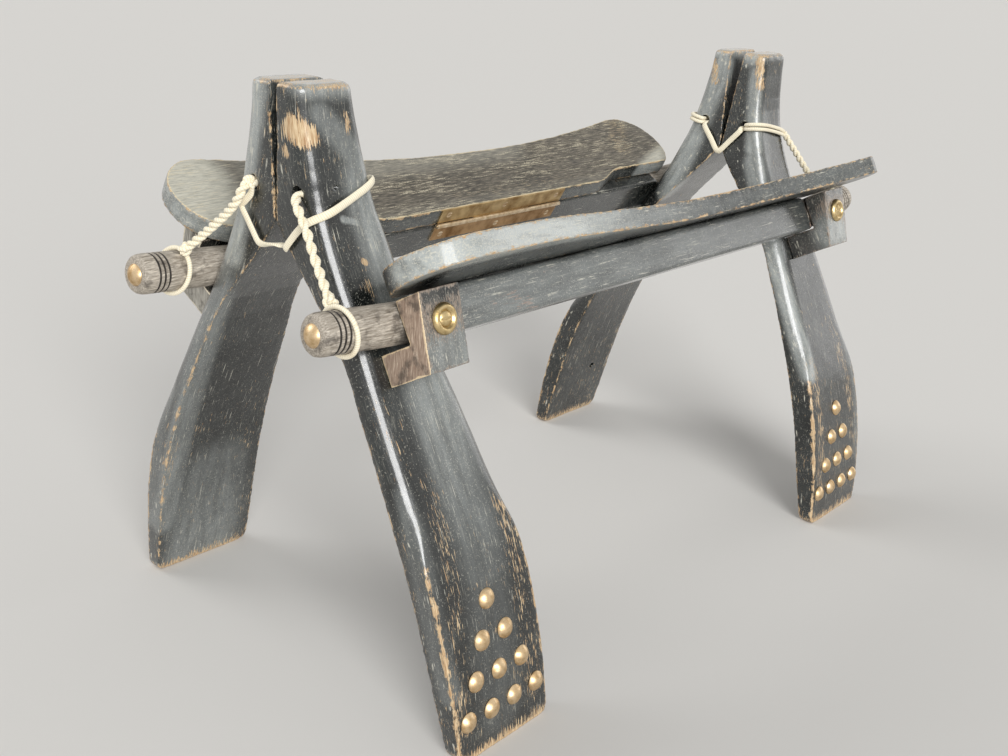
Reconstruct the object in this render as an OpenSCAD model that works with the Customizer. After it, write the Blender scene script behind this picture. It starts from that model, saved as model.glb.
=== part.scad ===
// Camel saddle stool: two halves, each a pair of S-curved legs joined by a
// rail, lashed together at the apex. A hinged board lies on each rail.
// +X is the right half, +Y the rear, +Z up; the origin is on the floor.

/* [Legs] */
// Height of the pommel tops above the floor
stool_h = 500; // [480:1:520]
// Distance from the middle of the stool to the outer face of the feet at the end
foot_reach = 348; // [330:1:365]
// Width of a foot, along the stool
foot_w = 107; // [98:1:114]
// Width of a pommel top, along the stool
pommel_w = 55; // [48:1:62]
// How far a leg leans outwards along the stool from foot to top
leg_lean = 9; // [4:1:12]
// How far a leg's end face bows outwards half-way up
end_bow = 7; // [0:1:8]
// How far a leg's near face bows towards the middle half-way up
near_bow = 11; // [6:0.5:12]
// How much closer to the middle plane the rear feet stand
rear_tuck = 9; // [0:1:12]
// Height of the line where the two halves touch
apex_h = 394; // [392:1:396]
// Half of the gap between the front pommels at the top
front_gap = 5.6; // [4:0.2:8]
// Half of the gap between the rear pommels at the top
rear_gap = 8.8; // [6:0.2:11]
// Radius of the round-over on a leg's outer corners
roundover_r = 17; // [12:1:19]
// Width of that round-over across the slope of the leg
roundover_w = 22; // [17:1:24]
// Depth of the shallower round-over at the end face of the left front leg
left_front_roundover = 6; // [4:0.5:17]
// Diameter of the lashing hole through each leg
lash_hole_d = 12; // [10:0.5:13]

/* [Rails] */
// Tilt of the rails and boards, outer edge up
tilt = 29; // [28:0.5:30]
// Depth of the rail bar, away from the legs
rail_depth = 35; // [34:0.5:36]
// Height of the rail bar
rail_h = 37; // [35:0.5:38]
// Distance from the middle of the stool to the shoulder of the rail bar
rail_shoulder = 291; // [289:1:291]
// Distance from the middle of the stool to the tip of the right front peg
right_front_peg = 403; // [398:1:408]
// Distance from the middle of the stool to the tip of the right rear peg
right_rear_peg = 408; // [400:1:414]
// Distance from the middle of the stool to the tips of the two left pegs
left_pegs = 417; // [410:1:420]
// Diameter of the turned pegs
peg_d = 33; // [32:0.2:33]
// Upward slope of the pegs
peg_slope = 5; // [3:0.5:6]

/* [Blocks] */
// Width of a clamp block, along the stool
block_w = 42; // [38:1:44]
// Width of the wider clamp block at the left front leg
left_front_block_w = 52; // [42:1:54]
// Distance from the middle of the stool to the near side of a block
block_at = 292; // [292:1:294]
// Height of a block's outer face
block_h = 62; // [58:1:66]

/* [Boards] */
// Thickness of the boards
board_t = 19; // [17:0.5:20]
// Width of a board at its waist
board_waist = 75; // [70:1:80]
// Distance of the waist behind the middle of the stool
board_waist_y = 20; // [0:1:40]
// Radius of the waisted outer edge
board_edge_r = 1400; // [1200:10:1800]
// Radius of the round board ends
board_end_r = 46; // [42:1:48]
// Radius of the squarer outer corner at the rear of the right board
right_rear_corner = 27; // [22:1:42]
// Reach of the right board towards the front
right_board_front = 350; // [346:1:356]
// Reach of the right board towards the rear
right_board_rear = 352; // [344:1:354]
// Reach of the left board towards the front
left_board_front = 356; // [350:1:360]
// Reach of the left board towards the rear
left_board_rear = 330; // [326:1:342]
// Depth of the long notches that clear the legs
notch_depth = 15; // [12:1:17]

/* [Brass] */
// Length of the strip hinges
hinge_len = 190; // [170:2:200]
// Width of a hinge leaf
leaf_w = 20; // [17:0.5:21]
// Diameter of the domed nails
nail_d = 17.5; // [15:0.5:18]
// Diameter of the larger domed nails in the peg ends
peg_nail_d = 18.5; // [16:0.5:20]
// Diameter of the cup washers
cup_d = 25; // [22:0.5:26]

/* [Hidden] */
$fn = 48;

// Colours of the black paint, weathered wood, brass and cotton cord
paint = [0.16, 0.18, 0.18];
worn = [0.36, 0.35, 0.32];
brass = [0.80, 0.62, 0.34];
cord = [0.90, 0.85, 0.70];

// ---- leg ----
half_gap = 0.4;                 // each half stands this far from the middle plane
// Inner face as [height, distance from the middle plane], up to the apex
inner_line = [[0, 199], [40, 188], [80, 177.5], [120, 165.5], [160, 150.5], [200, 132.5],
              [240, 112.5], [300, 79.5], [325, 60], [350, 37], [375, 15], [apex_h, half_gap]];
// Outer face: foot, knee, straight slope along the rail, then the pommel
slope_x = 74;                   // outer face's distance at slope_z
slope_z = 350;
knee_z = 190;                   // the straight slope starts here
function slope_line(z) = slope_x + (slope_z - z) * tan(tilt);
outer_line = [[0, 214.5], [40, 209.5], [80, 202], [120, 191.5], [145, 183], [170, 172.5],
              [knee_z, slope_line(knee_z)], [230, slope_line(230)], [290, slope_line(290)],
              [slope_z, slope_line(slope_z)], [372, 63], [392, 54], [412, 46.5], [436, 41],
              [465, 38], [stool_h, 37]];
tuck_top = 290;                 // the rear feet turn in below this height
end_bow_top = 330;
near_bow_top = 400;
foot_round = 9;                 // rounding of the sole's two ends
top_round = 4;                  // softened edge of the pommel top
sharp_r = 2;                    // radius of an arris that isn't rounded over
tongue_z = [150, 192, 215];     // where the round-over runs out above the foot
near_thin = 0.4;                // the round-over is this much smaller on the pommel's near side
leg_steps = [0, 1.5, 4.5, 9, 25, 45, 65, 85, 103, 120, 135, 150, 158, 166, 174, 183, 192, 203,
             215, 235, 262, 290, 312, 330, 344, 356, 368, 380, apex_h, 402, 412, 424, 438,
             452, for (d = [24, 10, 5, 1.8, 0]) stool_h - d];
corner_steps = 6;

// Smooth curve through a list of [height, value] points
function span_of(line, z, i = 0) =
    i >= len(line) - 2 || z < line[i + 1][0] ? i : span_of(line, z, i + 1);
function slope_at(line, i) =
    let (a = line[max(i - 1, 0)], b = line[min(i + 1, len(line) - 1)])
    (b[1] - a[1]) / (b[0] - a[0]);
function hermite(p, q, mp, mq, t) =
    (2 * t ^ 3 - 3 * t ^ 2 + 1) * p + (t ^ 3 - 2 * t ^ 2 + t) * mp
    + (3 * t ^ 2 - 2 * t ^ 3) * q + (t ^ 3 - t ^ 2) * mq;
function curve(line, z) =
    let (i = span_of(line, z), a = line[i], b = line[i + 1], d = b[0] - a[0])
    hermite(a[1], b[1], slope_at(line, i) * d, slope_at(line, i + 1) * d, (z - a[0]) / d);
function ramp(z, z0, z1) = min(1, max(0, (z - z0) / (z1 - z0)));
function smooth(z, z0, z1) = let (t = ramp(z, z0, z1)) t * t * (3 - 2 * t);
function bow(z, top) = z < top ? sin(180 * z / top) : 0;

// In these functions e is 1 for a rear leg and -1 for a front one
function tuck(z, e) = e > 0 ? rear_tuck * ramp(z, tuck_top, 0) : 0;
function half_gap_at(z, e) =
    half_gap + ((e > 0 ? rear_gap : front_gap) - half_gap) * (z - apex_h) / (stool_h - apex_h);
function inner_x(z, e) =
    z <= apex_h ? curve(inner_line, z) - tuck(z, e) : half_gap_at(z, e);
function outer_x(z, e) =
    (z > knee_z && z < slope_z ? slope_line(z) : curve(outer_line, z)) - tuck(z, e);
function end_y(z) = foot_reach + leg_lean * z / stool_h + end_bow * bow(z, end_bow_top);
function near_y(z) =
    foot_reach - foot_w + (leg_lean + foot_w - pommel_w) * z / stool_h
    - near_bow * bow(z, near_bow_top);
// How far a ring draws in at the rounded sole and pommel top
function sole_inset(z) =
    z >= foot_round ? 0 : foot_round - sqrt(foot_round ^ 2 - (foot_round - z) ^ 2);
function top_inset(z) =
    let (d = stool_h - z)
    d >= top_round ? 0 : top_round - sqrt(top_round ^ 2 - (top_round - d) ^ 2);
// Half axes of the round-over: across the leg's side faces and along its outer face
function round_across(z, thick) =
    let (w = roundover_w + (roundover_r - roundover_w) * smooth(z, tongue_z[2], apex_h))
    min(0.8 * thick, sharp_r + (w - sharp_r) * smooth(z, tongue_z[0], tongue_z[1]));
function round_along(z, r) =
    sharp_r + (r - sharp_r) * smooth(z, tongue_z[0], tongue_z[2]);
function near_size(z) = 1 - near_thin * smooth(z, slope_z, apex_h);

// One horizontal ring of a leg in the +X, +Y quadrant; r is the depth of the
// round-over at the end face
function leg_ring(z, e, r) =
    let (xi = inner_x(z, e), out = top_inset(z),
         xo = outer_x(z, e) - out,
         ye = end_y(z) - sole_inset(z) - out, yn = near_y(z) + sole_inset(z) + out,
         rx = round_across(z, xo - xi), ry = round_along(z, r),
         k = near_size(z), near_r = k * round_along(z, roundover_r))
    concat(
        [[xi, yn, z]],
        [for (i = [0:corner_steps]) let (a = -90 + 90 * i / corner_steps)
            [xo - k * rx * (1 - cos(a)), yn + near_r * (1 + sin(a)), z]],
        [for (i = [0:corner_steps]) let (a = 90 * i / corner_steps)
            [xo - rx * (1 - cos(a)), ye - ry * (1 - sin(a)), z]],
        [[xi, ye, z]]);
ring_n = 2 * corner_steps + 4;

module leg_body(e, r) {
    rings = [for (z = leg_steps) leg_ring(z, e, r)];
    n = len(rings);
    polyhedron(
        points = [for (r = rings) each r],
        faces = concat(
            [[for (i = [0:ring_n - 1]) i]],
            [for (k = [0:n - 2], i = [0:ring_n - 1])
                let (j = (i + 1) % ring_n)
                [k * ring_n + i, (k + 1) * ring_n + i, (k + 1) * ring_n + j, k * ring_n + j]],
            [[for (i = [ring_n - 1:-1:0]) (n - 1) * ring_n + i]]),
        convexity = 6);
}

// ---- places shared by several pieces ----
// Stands a shape in the frame of the right rail: X away from the leg,
// Y along the stool, Z up the slope of the leg
module rail_frame() {
    translate([slope_x, 0, slope_z]) rotate([0, -tilt, 0]) children();
}
// A half of the stool: 1 is right, -1 is left
module side(s) {
    mirror([s < 0 ? 1 : 0, 0, 0]) children();
}
// An end of the stool: 1 is rear, -1 is front
module end(e) {
    mirror([0, e < 0 ? 1 : 0, 0]) children();
}

lash_x = 26.5;
lash_z = 420;
rail_top = -13;                 // top of the rail bar, up the slope
board_gap = 0.5;                // the dark line between rail and board
board_low = rail_top + board_gap;
peg_n = rail_depth / 2;         // peg axis at the shoulder, in the rail frame
peg_u = rail_top - 20.5;
// Length of a peg: s is the half, 1 right or -1 left, and e the end, 1 rear or -1 front
function peg_l(s, e) =
    ((s < 0 ? left_pegs : e < 0 ? right_front_peg : right_rear_peg) - rail_shoulder)
    / cos(peg_slope);

// Clamp screw: square to the leaning outer face of the block
face_low = [47.5, -76];
face_lean = 14;
face_high = face_low + block_h * [sin(face_lean), cos(face_lean)];
screw_up = 38;                  // up the outer face from its lower edge
screw_at = face_low + screw_up * [sin(face_lean), cos(face_lean)];
screw_y = block_at + 21;
screw_d = 5;
screw_l = 78;
module at_screw() {
    rail_frame() translate([screw_at[0], screw_y, screw_at[1]])
        rotate([0, 90 + face_lean, 0]) children();
}

// Domed nails in each foot: rows of 4, 3, 2 and 1
nail_rows = 4;
nail_low = 34;
nail_row_step = 29.5;
nail_step = 27;
nail_stem_d = 3;
nail_stem_l = 13;
nail_rise = 5;
module at_foot_nails(e) {
    for (row = [0:nail_rows - 1]) {
        z = nail_low + row * nail_row_step;
        lean = atan((outer_x(z - 5, e) - outer_x(z + 5, e)) / 10);
        mid = (end_y(z) + near_y(z)) / 2;
        for (k = [0:nail_rows - 1 - row]) {
            y = mid + (k - (nail_rows - 1 - row) / 2) * nail_step;
            translate([outer_x(z, e), y, z]) rotate([0, 90 - lean, 0]) children();
        }
    }
}

module leg(e, r) {
    color(paint) difference() {
        leg_body(e, r);
        translate([lash_x, foot_reach + 40, lash_z]) rotate([90, 0, 0])
            cylinder(d = lash_hole_d, h = 140);
        at_foot_nails(e) translate([0, 0, -nail_stem_l])
            cylinder(d = nail_stem_d, h = 40, $fn = 16);
        at_screw() translate([0, 0, -screw_l]) cylinder(d = screw_d, h = screw_l, $fn = 24);
    }
}

module domed_nail(d) {
    ball_r = (d ^ 2 / 4 + nail_rise ^ 2) / (2 * nail_rise);
    intersection() {
        translate([0, 0, nail_rise - ball_r]) sphere(r = ball_r);
        cylinder(d = d, h = nail_rise + 1);
    }
    translate([0, 0, -nail_stem_l]) cylinder(d = nail_stem_d, h = nail_stem_l + 1, $fn = 16);
}

// ---- rail ----
module rounded_section(w, h, r, r_out) {
    difference() {
        translate([0, -h]) square([w, h]);
        for (c = [[0, -h, r, 1, 1], [0, 0, r, 1, -1], [w, -h, r, -1, 1], [w, 0, r_out, -1, -1]])
            translate([c[0], c[1]]) difference() {
                translate([c[3] > 0 ? -1 : -c[2], c[4] > 0 ? -1 : -c[2]]) square(c[2] + 1);
                translate([c[3] * c[2], c[4] * c[2]]) circle(r = c[2]);
            }
    }
}

// Axis of a peg, along +Z from the bar's shoulder, for the rear end
module at_peg() {
    rail_frame() translate([peg_n, rail_shoulder, peg_u])
        rotate([-90 + peg_slope, 0, 0]) children();
}

// Turned peg: plain shank, three grooves and a softened end
groove_w = 2.2;
groove_step = 4.4;
groove_in = 1.1;
module peg(l) {
    r = peg_d / 2;
    rotate_extrude() polygon(concat(
        [[0, -12], [r, -12]],
        [for (k = [2:-1:0]) let (z = l - 9 - k * groove_step)
            each [[r, z - groove_w], [r - groove_in, z - groove_w / 2], [r, z]]],
        [[r, l - 5], [r - 1.2, l - 2], [r - 4, l], [0, l]]));
}

module rail(s) {
    color(worn) difference() {
        union() {
            rail_frame() translate([0, 0, rail_top]) rotate([90, 0, 0])
                linear_extrude(2 * rail_shoulder, center = true)
                    rounded_section(rail_depth, rail_h, 3, 6);
            for (e = [-1, 1]) end(e) at_peg() peg(peg_l(s, e));
        }
        for (e = [-1, 1]) end(e) {
            at_screw() translate([0, 0, -screw_l]) cylinder(d = screw_d, h = screw_l, $fn = 24);
            at_peg() translate([0, 0, peg_l(s, e) - nail_stem_l])
                cylinder(d = nail_stem_d, h = nail_stem_l + 1, $fn = 16);
        }
        at_rail_screws() screw_shape(0);
    }
}

// ---- clamp block: a hook that holds the peg against the leg ----
peg_play = 0.2;
ledge_u = peg_u - peg_d / 2 - peg_play;
wall_n = rail_depth + 0.3;
module block(w) {
    color(paint) difference() {
        rail_frame() translate([0, block_at + w, 0]) rotate([90, 0, 0])
            linear_extrude(w) polygon([
                [0, face_low[1]], face_low, face_high, [wall_n, face_high[1]],
                [wall_n, ledge_u], [0, ledge_u]]);
        at_peg() translate([0, 0, -1]) cylinder(d = peg_d + 2 * peg_play, h = 2 * block_w);
        at_screw() translate([0, 0, -screw_l]) cylinder(d = screw_d, h = screw_l + 1, $fn = 24);
    }
}

// ---- boards ----
function board_edge(y) = board_waist + (y - board_waist_y) ^ 2 / (2 * board_edge_r);
notch_from = 160;
notch_full = 212;
notch_steps = 6;
module board(s) {
    color(worn) difference() {
        rail_frame() translate([0, 0, board_low]) linear_extrude(board_t) board_outline(s);
        at_board_screws() screw_shape(0);
    }
}
// Outline in the plan of the board: hinge edge at X 0, front at -Y
module board_outline(s) {
    polygon(concat(
        notch_points(-1), notch_points(1),
        end_points(s, 1), edge_points(s), end_points(s, -1)));
}
function notch_points(e) =
    let (p = [for (k = [0:notch_steps]) let (y = notch_from + (notch_full - notch_from) * k / notch_steps)
        [notch_depth * smooth(y, notch_from, notch_full), e * y]])
    e > 0 ? p : [for (k = [notch_steps:-1:0]) p[k]];
// Reach and outer corner radius of a board end: s is the half and e the end
function board_reach(s, e) =
    s > 0 ? (e > 0 ? right_board_rear : right_board_front)
          : (e > 0 ? left_board_rear : left_board_front);
function board_corner(s, e) = s > 0 && e > 0 ? right_rear_corner : board_end_r - 2;
end_steps = 8;
function arc_points(x, y, r, a0, a1) =
    [for (k = [0:end_steps]) let (a = a0 + (a1 - a0) * k / end_steps) [x + r * cos(a), y + r * sin(a)]];
// A board end, from the notch side round to the outer edge
function end_points(s, e) =
    let (reach = board_reach(s, e), r = board_corner(s, e),
         yi = reach - board_end_r, xi = board_edge(e * yi) - board_end_r,
         yo = reach - r, xo = board_edge(e * yo) - r,
         p = concat(arc_points(xi, yi, board_end_r, acos(max(-1, (notch_depth - xi) / board_end_r)), 90),
                    arc_points(xo, yo, r, 90, 0)))
    e > 0 ? p : [for (k = [len(p) - 1:-1:0]) [p[k][0], -p[k][1]]];
edge_steps = 14;
function edge_points(s) =
    let (y0 = board_reach(s, 1) - board_corner(s, 1), y1 = board_corner(s, -1) - board_reach(s, -1))
    [for (k = [1:edge_steps - 1]) let (y = y0 + (y1 - y0) * k / edge_steps) [board_edge(y), y]];

// ---- strip hinges ----
leaf_t = 1.6;
barrel_r = 2.5;
pin_r = 1.2;
pin_play = 0.05;
barrel_n = -leaf_t - 1;          // hinge axis in the rail frame
barrel_u = rail_top + board_gap / 2;
end_knuckle = 52;                // length of each knuckle on the rail leaf
knuckle_gap = 0.3;
leaf_clear = 0.6;                // leaf edge to the other leaf's knuckles
screw_head_d = 7;
small_screw_d = 3.4;
small_screw_l = 15;
leaf_screws_y = [-hinge_len / 2 + 12, 0, hinge_len / 2 - 12];

module barrel(y0, y1) {
    translate([barrel_n, y1, barrel_u]) rotate([90, 0, 0])
        cylinder(r = barrel_r, h = y1 - y0, $fn = 32);
}
// A leaf plate on the N = 0 face, from u0 to u1
module plate(y0, y1, u0, u1) {
    translate([-leaf_t, y0, u0]) cube([leaf_t, y1 - y0, u1 - u0]);
}
module pin_bore(r) {
    translate([barrel_n, hinge_len, barrel_u]) rotate([90, 0, 0])
        cylinder(r = r, h = 2 * hinge_len, $fn = 32);
}
board_leaf_top = barrel_u + barrel_r + leaf_w - 3.4;
rail_leaf_low = barrel_u - barrel_r - leaf_w + 3;
mid_knuckle = hinge_len / 2 - end_knuckle;

module board_leaf() {
    color(brass) difference() {
        rail_frame() difference() {
            union() {
                plate(-hinge_len / 2, hinge_len / 2, barrel_u + barrel_r + leaf_clear, board_leaf_top);
                plate(-mid_knuckle + knuckle_gap, mid_knuckle - knuckle_gap,
                      barrel_u, barrel_u + barrel_r + 1);
                barrel(-mid_knuckle + knuckle_gap, mid_knuckle - knuckle_gap);
            }
            pin_bore(pin_r + pin_play);
        }
        at_board_screws() screw_shape(0);
    }
}
module rail_leaf() {
    color(brass) difference() {
        rail_frame() difference() {
            union() {
                plate(-hinge_len / 2, hinge_len / 2, rail_leaf_low, barrel_u - barrel_r - leaf_clear);
                for (e = [-1, 1]) end(e) {
                    plate(mid_knuckle, hinge_len / 2, barrel_u - barrel_r - 1, barrel_u);
                    barrel(mid_knuckle, hinge_len / 2);
                }
            }
            pin_bore(pin_r);
        }
        at_rail_screws() screw_shape(0);
    }
}
module hinge_pin() {
    color(brass) rail_frame() translate([barrel_n, hinge_len / 2 + 0.8, barrel_u])
        rotate([90, 0, 0]) cylinder(r = pin_r, h = hinge_len + 1.6, $fn = 32);
}

// Countersunk leaf screws, heads flush with the leaf
module leaf_screw_places(u) {
    rail_frame() for (y = leaf_screws_y) translate([-leaf_t, y, u]) rotate([0, -90, 0]) children();
}
module at_board_screws() {
    leaf_screw_places((barrel_u + barrel_r + board_leaf_top) / 2 + 1.5) children();
}
module at_rail_screws() {
    leaf_screw_places((barrel_u - barrel_r + rail_leaf_low) / 2 - 1.5) children();
}
// slot is the depth of the driver slot: 0 leaves the plain shape that cuts the holes
module screw_shape(slot) {
    difference() {
        rotate_extrude($fn = 24) polygon([
            [0, -small_screw_l], [small_screw_d / 2, -small_screw_l],
            [small_screw_d / 2, -1.8], [screw_head_d / 2, 0], [0, 0]]);
        if (slot > 0) translate([-0.5, -screw_head_d, -slot]) cube([1, 2 * screw_head_d, slot + 1]);
    }
}

// ---- cup washers and clamp screws ----
cup_h = 4.5;
screw_cone_d = 13;
module cup_washer() {
    r = cup_d / 2;
    rotate_extrude($fn = 24) polygon([
        [screw_d / 2, 0], [r - 1, 0], [r, 1], [r - 0.6, 2.6], [r - 2.2, cup_h - 0.4],
        [r - 3.4, cup_h], [r - 4.6, cup_h - 0.4], [screw_cone_d / 2, 2.6], [screw_d / 2, 0.6]]);
}
module clamp_screw() {
    difference() {
        rotate_extrude($fn = 24) polygon([
            [0, -screw_l], [screw_d / 2, -screw_l], [screw_d / 2, 0.6], [screw_cone_d / 2, 2.6],
            [screw_cone_d / 2 - 1.6, 3.6], [3, 4.3], [0, 4.5]]);
        translate([-0.6, -screw_cone_d, 3.2]) cube([1.2, 2 * screw_cone_d, 3]);
    }
}

// ---- cords: lashings that hang the halves together, and stays down to the pegs ----
lash_r = 2.2;                   // radius of the lashing cord
stay_r = 3.7;                   // radius of the two twisted strands of a stay
loop_in = 34;                   // distance of a rear peg's loop from its tip
right_loop_in = 25;             // the same on the right front peg
left_loop_in = 37;              // and on the left front peg
loop_gap = 0.2;
cord_sides = 8;
// Routes of the cords, by eye round the legs, as on the right half; the last value is the radius
right_front_stay_route = [
    [29, -335, 420, 3.2], [29, -350, 420, 3.2], [29.8, -357, 419.2, 3.2], [33.2, -362, 416, 3.5],
    [39, -364.4, 411.4, stay_r], [45, -365, 404.2, stay_r], [51.2, -366, 396.4, stay_r],
    [61.5, -368.2, 381.4, stay_r], [74, -371.2, 367.8, stay_r], [86, -375, 357, stay_r],
    [92.4, -376.6, 354.2, stay_r]];
left_front_stay_route = [
    [29, -335, 420, 3.2], [29, -350, 420, 3.2], [29.2, -357.4, 419.4, 3.2], [29.4, -363.2, 415.2, 3.5],
    [33.4, -365.8, 405.4, stay_r], [43.4, -366.4, 395, stay_r], [55, -368, 384.8, stay_r],
    [67, -370, 375, stay_r], [77.5, -372.8, 366, stay_r], [86, -376, 358.8, stay_r],
    [91.8, -378.6, 354.4, stay_r]];
// A rear stay is drawn for a loop stay_for from the shoulder, and its end moves along to the loop
stay_for = 82;
rear_stay_route = [
    [49, 344.6, 412.4, 3], [50.2, 347, 410, stay_r], [54, 350, 403, stay_r],
    [60.5, 354.5, 393, stay_r], [67, 359, 382.5, stay_r], [73.5, 363.4, 372, stay_r],
    [80, 367.8, 361.6, stay_r], [85, 371.2, 353.6, stay_r], [88, 373.2, 348.6, stay_r]];
upper_strand_route = [
    [28.8, 312, 422.1, 2], [28.8, 294, 422.1, 2], [29.4, 290.4, 422.5, 2],
    [32.8, 288.8, 423.4, lash_r], [38, 289, 424.4, lash_r], [43.5, 292, 425, lash_r],
    [46.4, 299, 424.6, lash_r], [47.2, 310, 423, lash_r], [48, 325, 420, lash_r],
    [48.6, 337, 417, lash_r], [48.8, 344.8, 414, lash_r]];
lower_strand_route = [
    [28.8, 312, 417.9, 2], [28.8, 294, 417.9, 2], [29.4, 290.2, 418.1, 2],
    [32.8, 288.5, 418.5, lash_r], [38, 288.7, 419.4, lash_r], [43.9, 291.6, 420, lash_r],
    [47.4, 299, 419.6, lash_r], [48.4, 310, 418, lash_r], [49.2, 325, 415, lash_r],
    [49.8, 337, 412, lash_r], [49.6, 345, 409.6, lash_r]];
front_lashing_route = [
    [-22.9, -335, 420, lash_r], [-22.9, -352, 420, lash_r], [-23, -357.4, 418, lash_r],
    [-26, -358.1, 411, lash_r], [-33.6, -358.2, 404, lash_r], [-37.8, -358.2, 400.8, lash_r],
    [-36.4, -358.1, 397, lash_r], [-31.8, -358, 391.4, lash_r], [-25, -358, 383, lash_r],
    [-19.4, -357.9, 376, lash_r], [-16.4, -357.6, 374, lash_r], [-11, -356.6, 373.8, lash_r],
    [0, -353.8, 375.4, lash_r], [8, -351.8, 375.6, lash_r], [11.4, -354.8, 375, lash_r],
    [15.4, -357.6, 376.8, lash_r], [23, -358, 385, lash_r], [30, -358.1, 392.2, lash_r],
    [37.6, -357.8, 398.8, lash_r], [44.6, -354.4, 403.4, lash_r], [50, -348, 407, lash_r],
    [51.6, -340, 410.2, lash_r], [50, -328, 414, lash_r], [48.4, -315, 418.6, lash_r],
    [47, -303.6, 423, lash_r], [43.6, -294.4, 426.6, lash_r], [37, -290, 426.4, lash_r],
    [30, -289.8, 424, lash_r], [27.2, -292.6, 421.6, lash_r], [26.5, -298, 420.4, lash_r],
    [26.5, -318, 420, lash_r]];
rear_lashing_half = [
    [24.2, 304, 417.8, 2], [24.2, 294, 417.8, 2], [24.1, 290, 417, lash_r],
    [22.6, 288.2, 413.6, lash_r], [12, 286.9, 401.5, lash_r], [3.4, 285.6, 391.2, lash_r]];

function unit(v) = v / norm(v);
function place(p) = [p[0], p[1], p[2]];
function heading(route, i) =
    unit(place(route[min(i + 1, len(route) - 1)]) - place(route[max(i - 1, 0)]));
// A direction across the cord, carried along so that the tube doesn't twist
function across(route, i) =
    let (t = heading(route, i), n = i == 0 ? [0.31, 0.17, 0.93] : across(route, i - 1))
    unit(n - (n * t) * t);
function cord_ring(route, i) =
    let (t = heading(route, i), n = across(route, i), b = cross(t, n))
    [for (k = [0:cord_sides - 1]) let (a = 360 * k / cord_sides)
        place(route[i]) + route[i][3] * (cos(a) * n + sin(a) * b)];
module tube(route) {
    n = len(route);
    m = cord_sides;
    polyhedron(
        points = [for (i = [0:n - 1]) each cord_ring(route, i)],
        faces = concat(
            [[for (k = [0:m - 1]) k]],
            [for (i = [0:n - 2], k = [0:m - 1]) let (j = (k + 1) % m)
                [i * m + k, (i + 1) * m + k, (i + 1) * m + j, i * m + j]],
            [[for (k = [m - 1:-1:0]) (n - 1) * m + k]]),
        convexity = 8);
}
function loop_at(s, e) = peg_l(s, e) - (e > 0 ? loop_in : s > 0 ? right_loop_in : left_loop_in);
module peg_loop(s, e) {
    at_peg() translate([0, 0, loop_at(s, e)]) rotate_extrude($fn = 32)
        translate([peg_d / 2 + loop_gap + lash_r, 0]) circle(r = lash_r, $fn = cord_sides);
}
peg_way = [-sin(tilt) * sin(peg_slope), cos(peg_slope), cos(tilt) * sin(peg_slope)];
function rear_route(s) =
    let (n = len(rear_stay_route), d = loop_at(s, 1) - stay_for)
    [for (i = [0:n - 1]) let (p = rear_stay_route[i], q = d * smooth(i, 0, n - 1) * peg_way)
        [p[0] + q[0], p[1] + q[1], p[2] + q[2], p[3]]];
module front_stay(s) {
    color(cord) side(s) {
        tube(s > 0 ? right_front_stay_route : left_front_stay_route);
        end(-1) peg_loop(s, -1);
    }
}
module rear_stay(s) {
    color(cord) side(s) {
        tube(upper_strand_route);
        tube(lower_strand_route);
        tube(rear_route(s));
        peg_loop(s, 1);
    }
}
module front_lashing() { color(cord) tube(front_lashing_route); }
module rear_lashing() {
    n = len(rear_lashing_half);
    color(cord) tube(concat(
        [for (p = rear_lashing_half) [-p[0], p[1], p[2], p[3]]],
        [[0, 285.4, 389.4, lash_r]],
        [for (i = [n - 1:-1:0]) rear_lashing_half[i]]));
}

// ---- nodes ----
module leg_at(s, e) {
    side(s) end(e) leg(e, s < 0 && e < 0 ? left_front_roundover : roundover_r);
}
// Old fixing holes, each [y, height, diameter, depth]: a small one high on the right
// front leg's outer face, and a larger one low in the left rear leg's inner face
nail_hole_at = [-331, 425, 3.2, 8];
peg_hole_at = [316, 69, 8, 10];
inner_lean = 15;                // the inner face's lean at the larger hole
hole_over = 4;                  // how far the cutters stand out of the wood
module nail_hole() {
    h = nail_hole_at;
    translate([outer_x(h[1], -1) - h[3], h[0], h[1]]) rotate([0, 90, 0])
        cylinder(d = h[2], h = h[3] + hole_over, $fn = 16);
}
module peg_hole() {
    h = peg_hole_at;
    translate([-inner_x(h[1], 1), h[0], h[1]]) rotate([0, 90 + inner_lean, 0])
        translate([0, 0, -h[3]]) cylinder(d = h[2], h = h[3] + hole_over, $fn = 24);
}
module block_at_leg(s, e) {
    side(s) end(e) block(s < 0 && e < 0 ? left_front_block_w : block_w);
}
module foot_nails(s, e) { color(brass) side(s) end(e) at_foot_nails(e) domed_nail(nail_d); }
module peg_nails(s) {
    color(brass) side(s) for (e = [-1, 1]) end(e)
        at_peg() translate([0, 0, peg_l(s, e)]) domed_nail(peg_nail_d);
}
module cup_washers(s) { color(brass) side(s) for (e = [-1, 1]) end(e) at_screw() cup_washer(); }
module clamp_screws(s) { color(brass) side(s) for (e = [-1, 1]) end(e) at_screw() clamp_screw(); }
module board_screws(s) { color(brass) side(s) at_board_screws() screw_shape(0.8); }
module rail_screws(s) { color(brass) side(s) at_rail_screws() screw_shape(0.8); }

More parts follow.
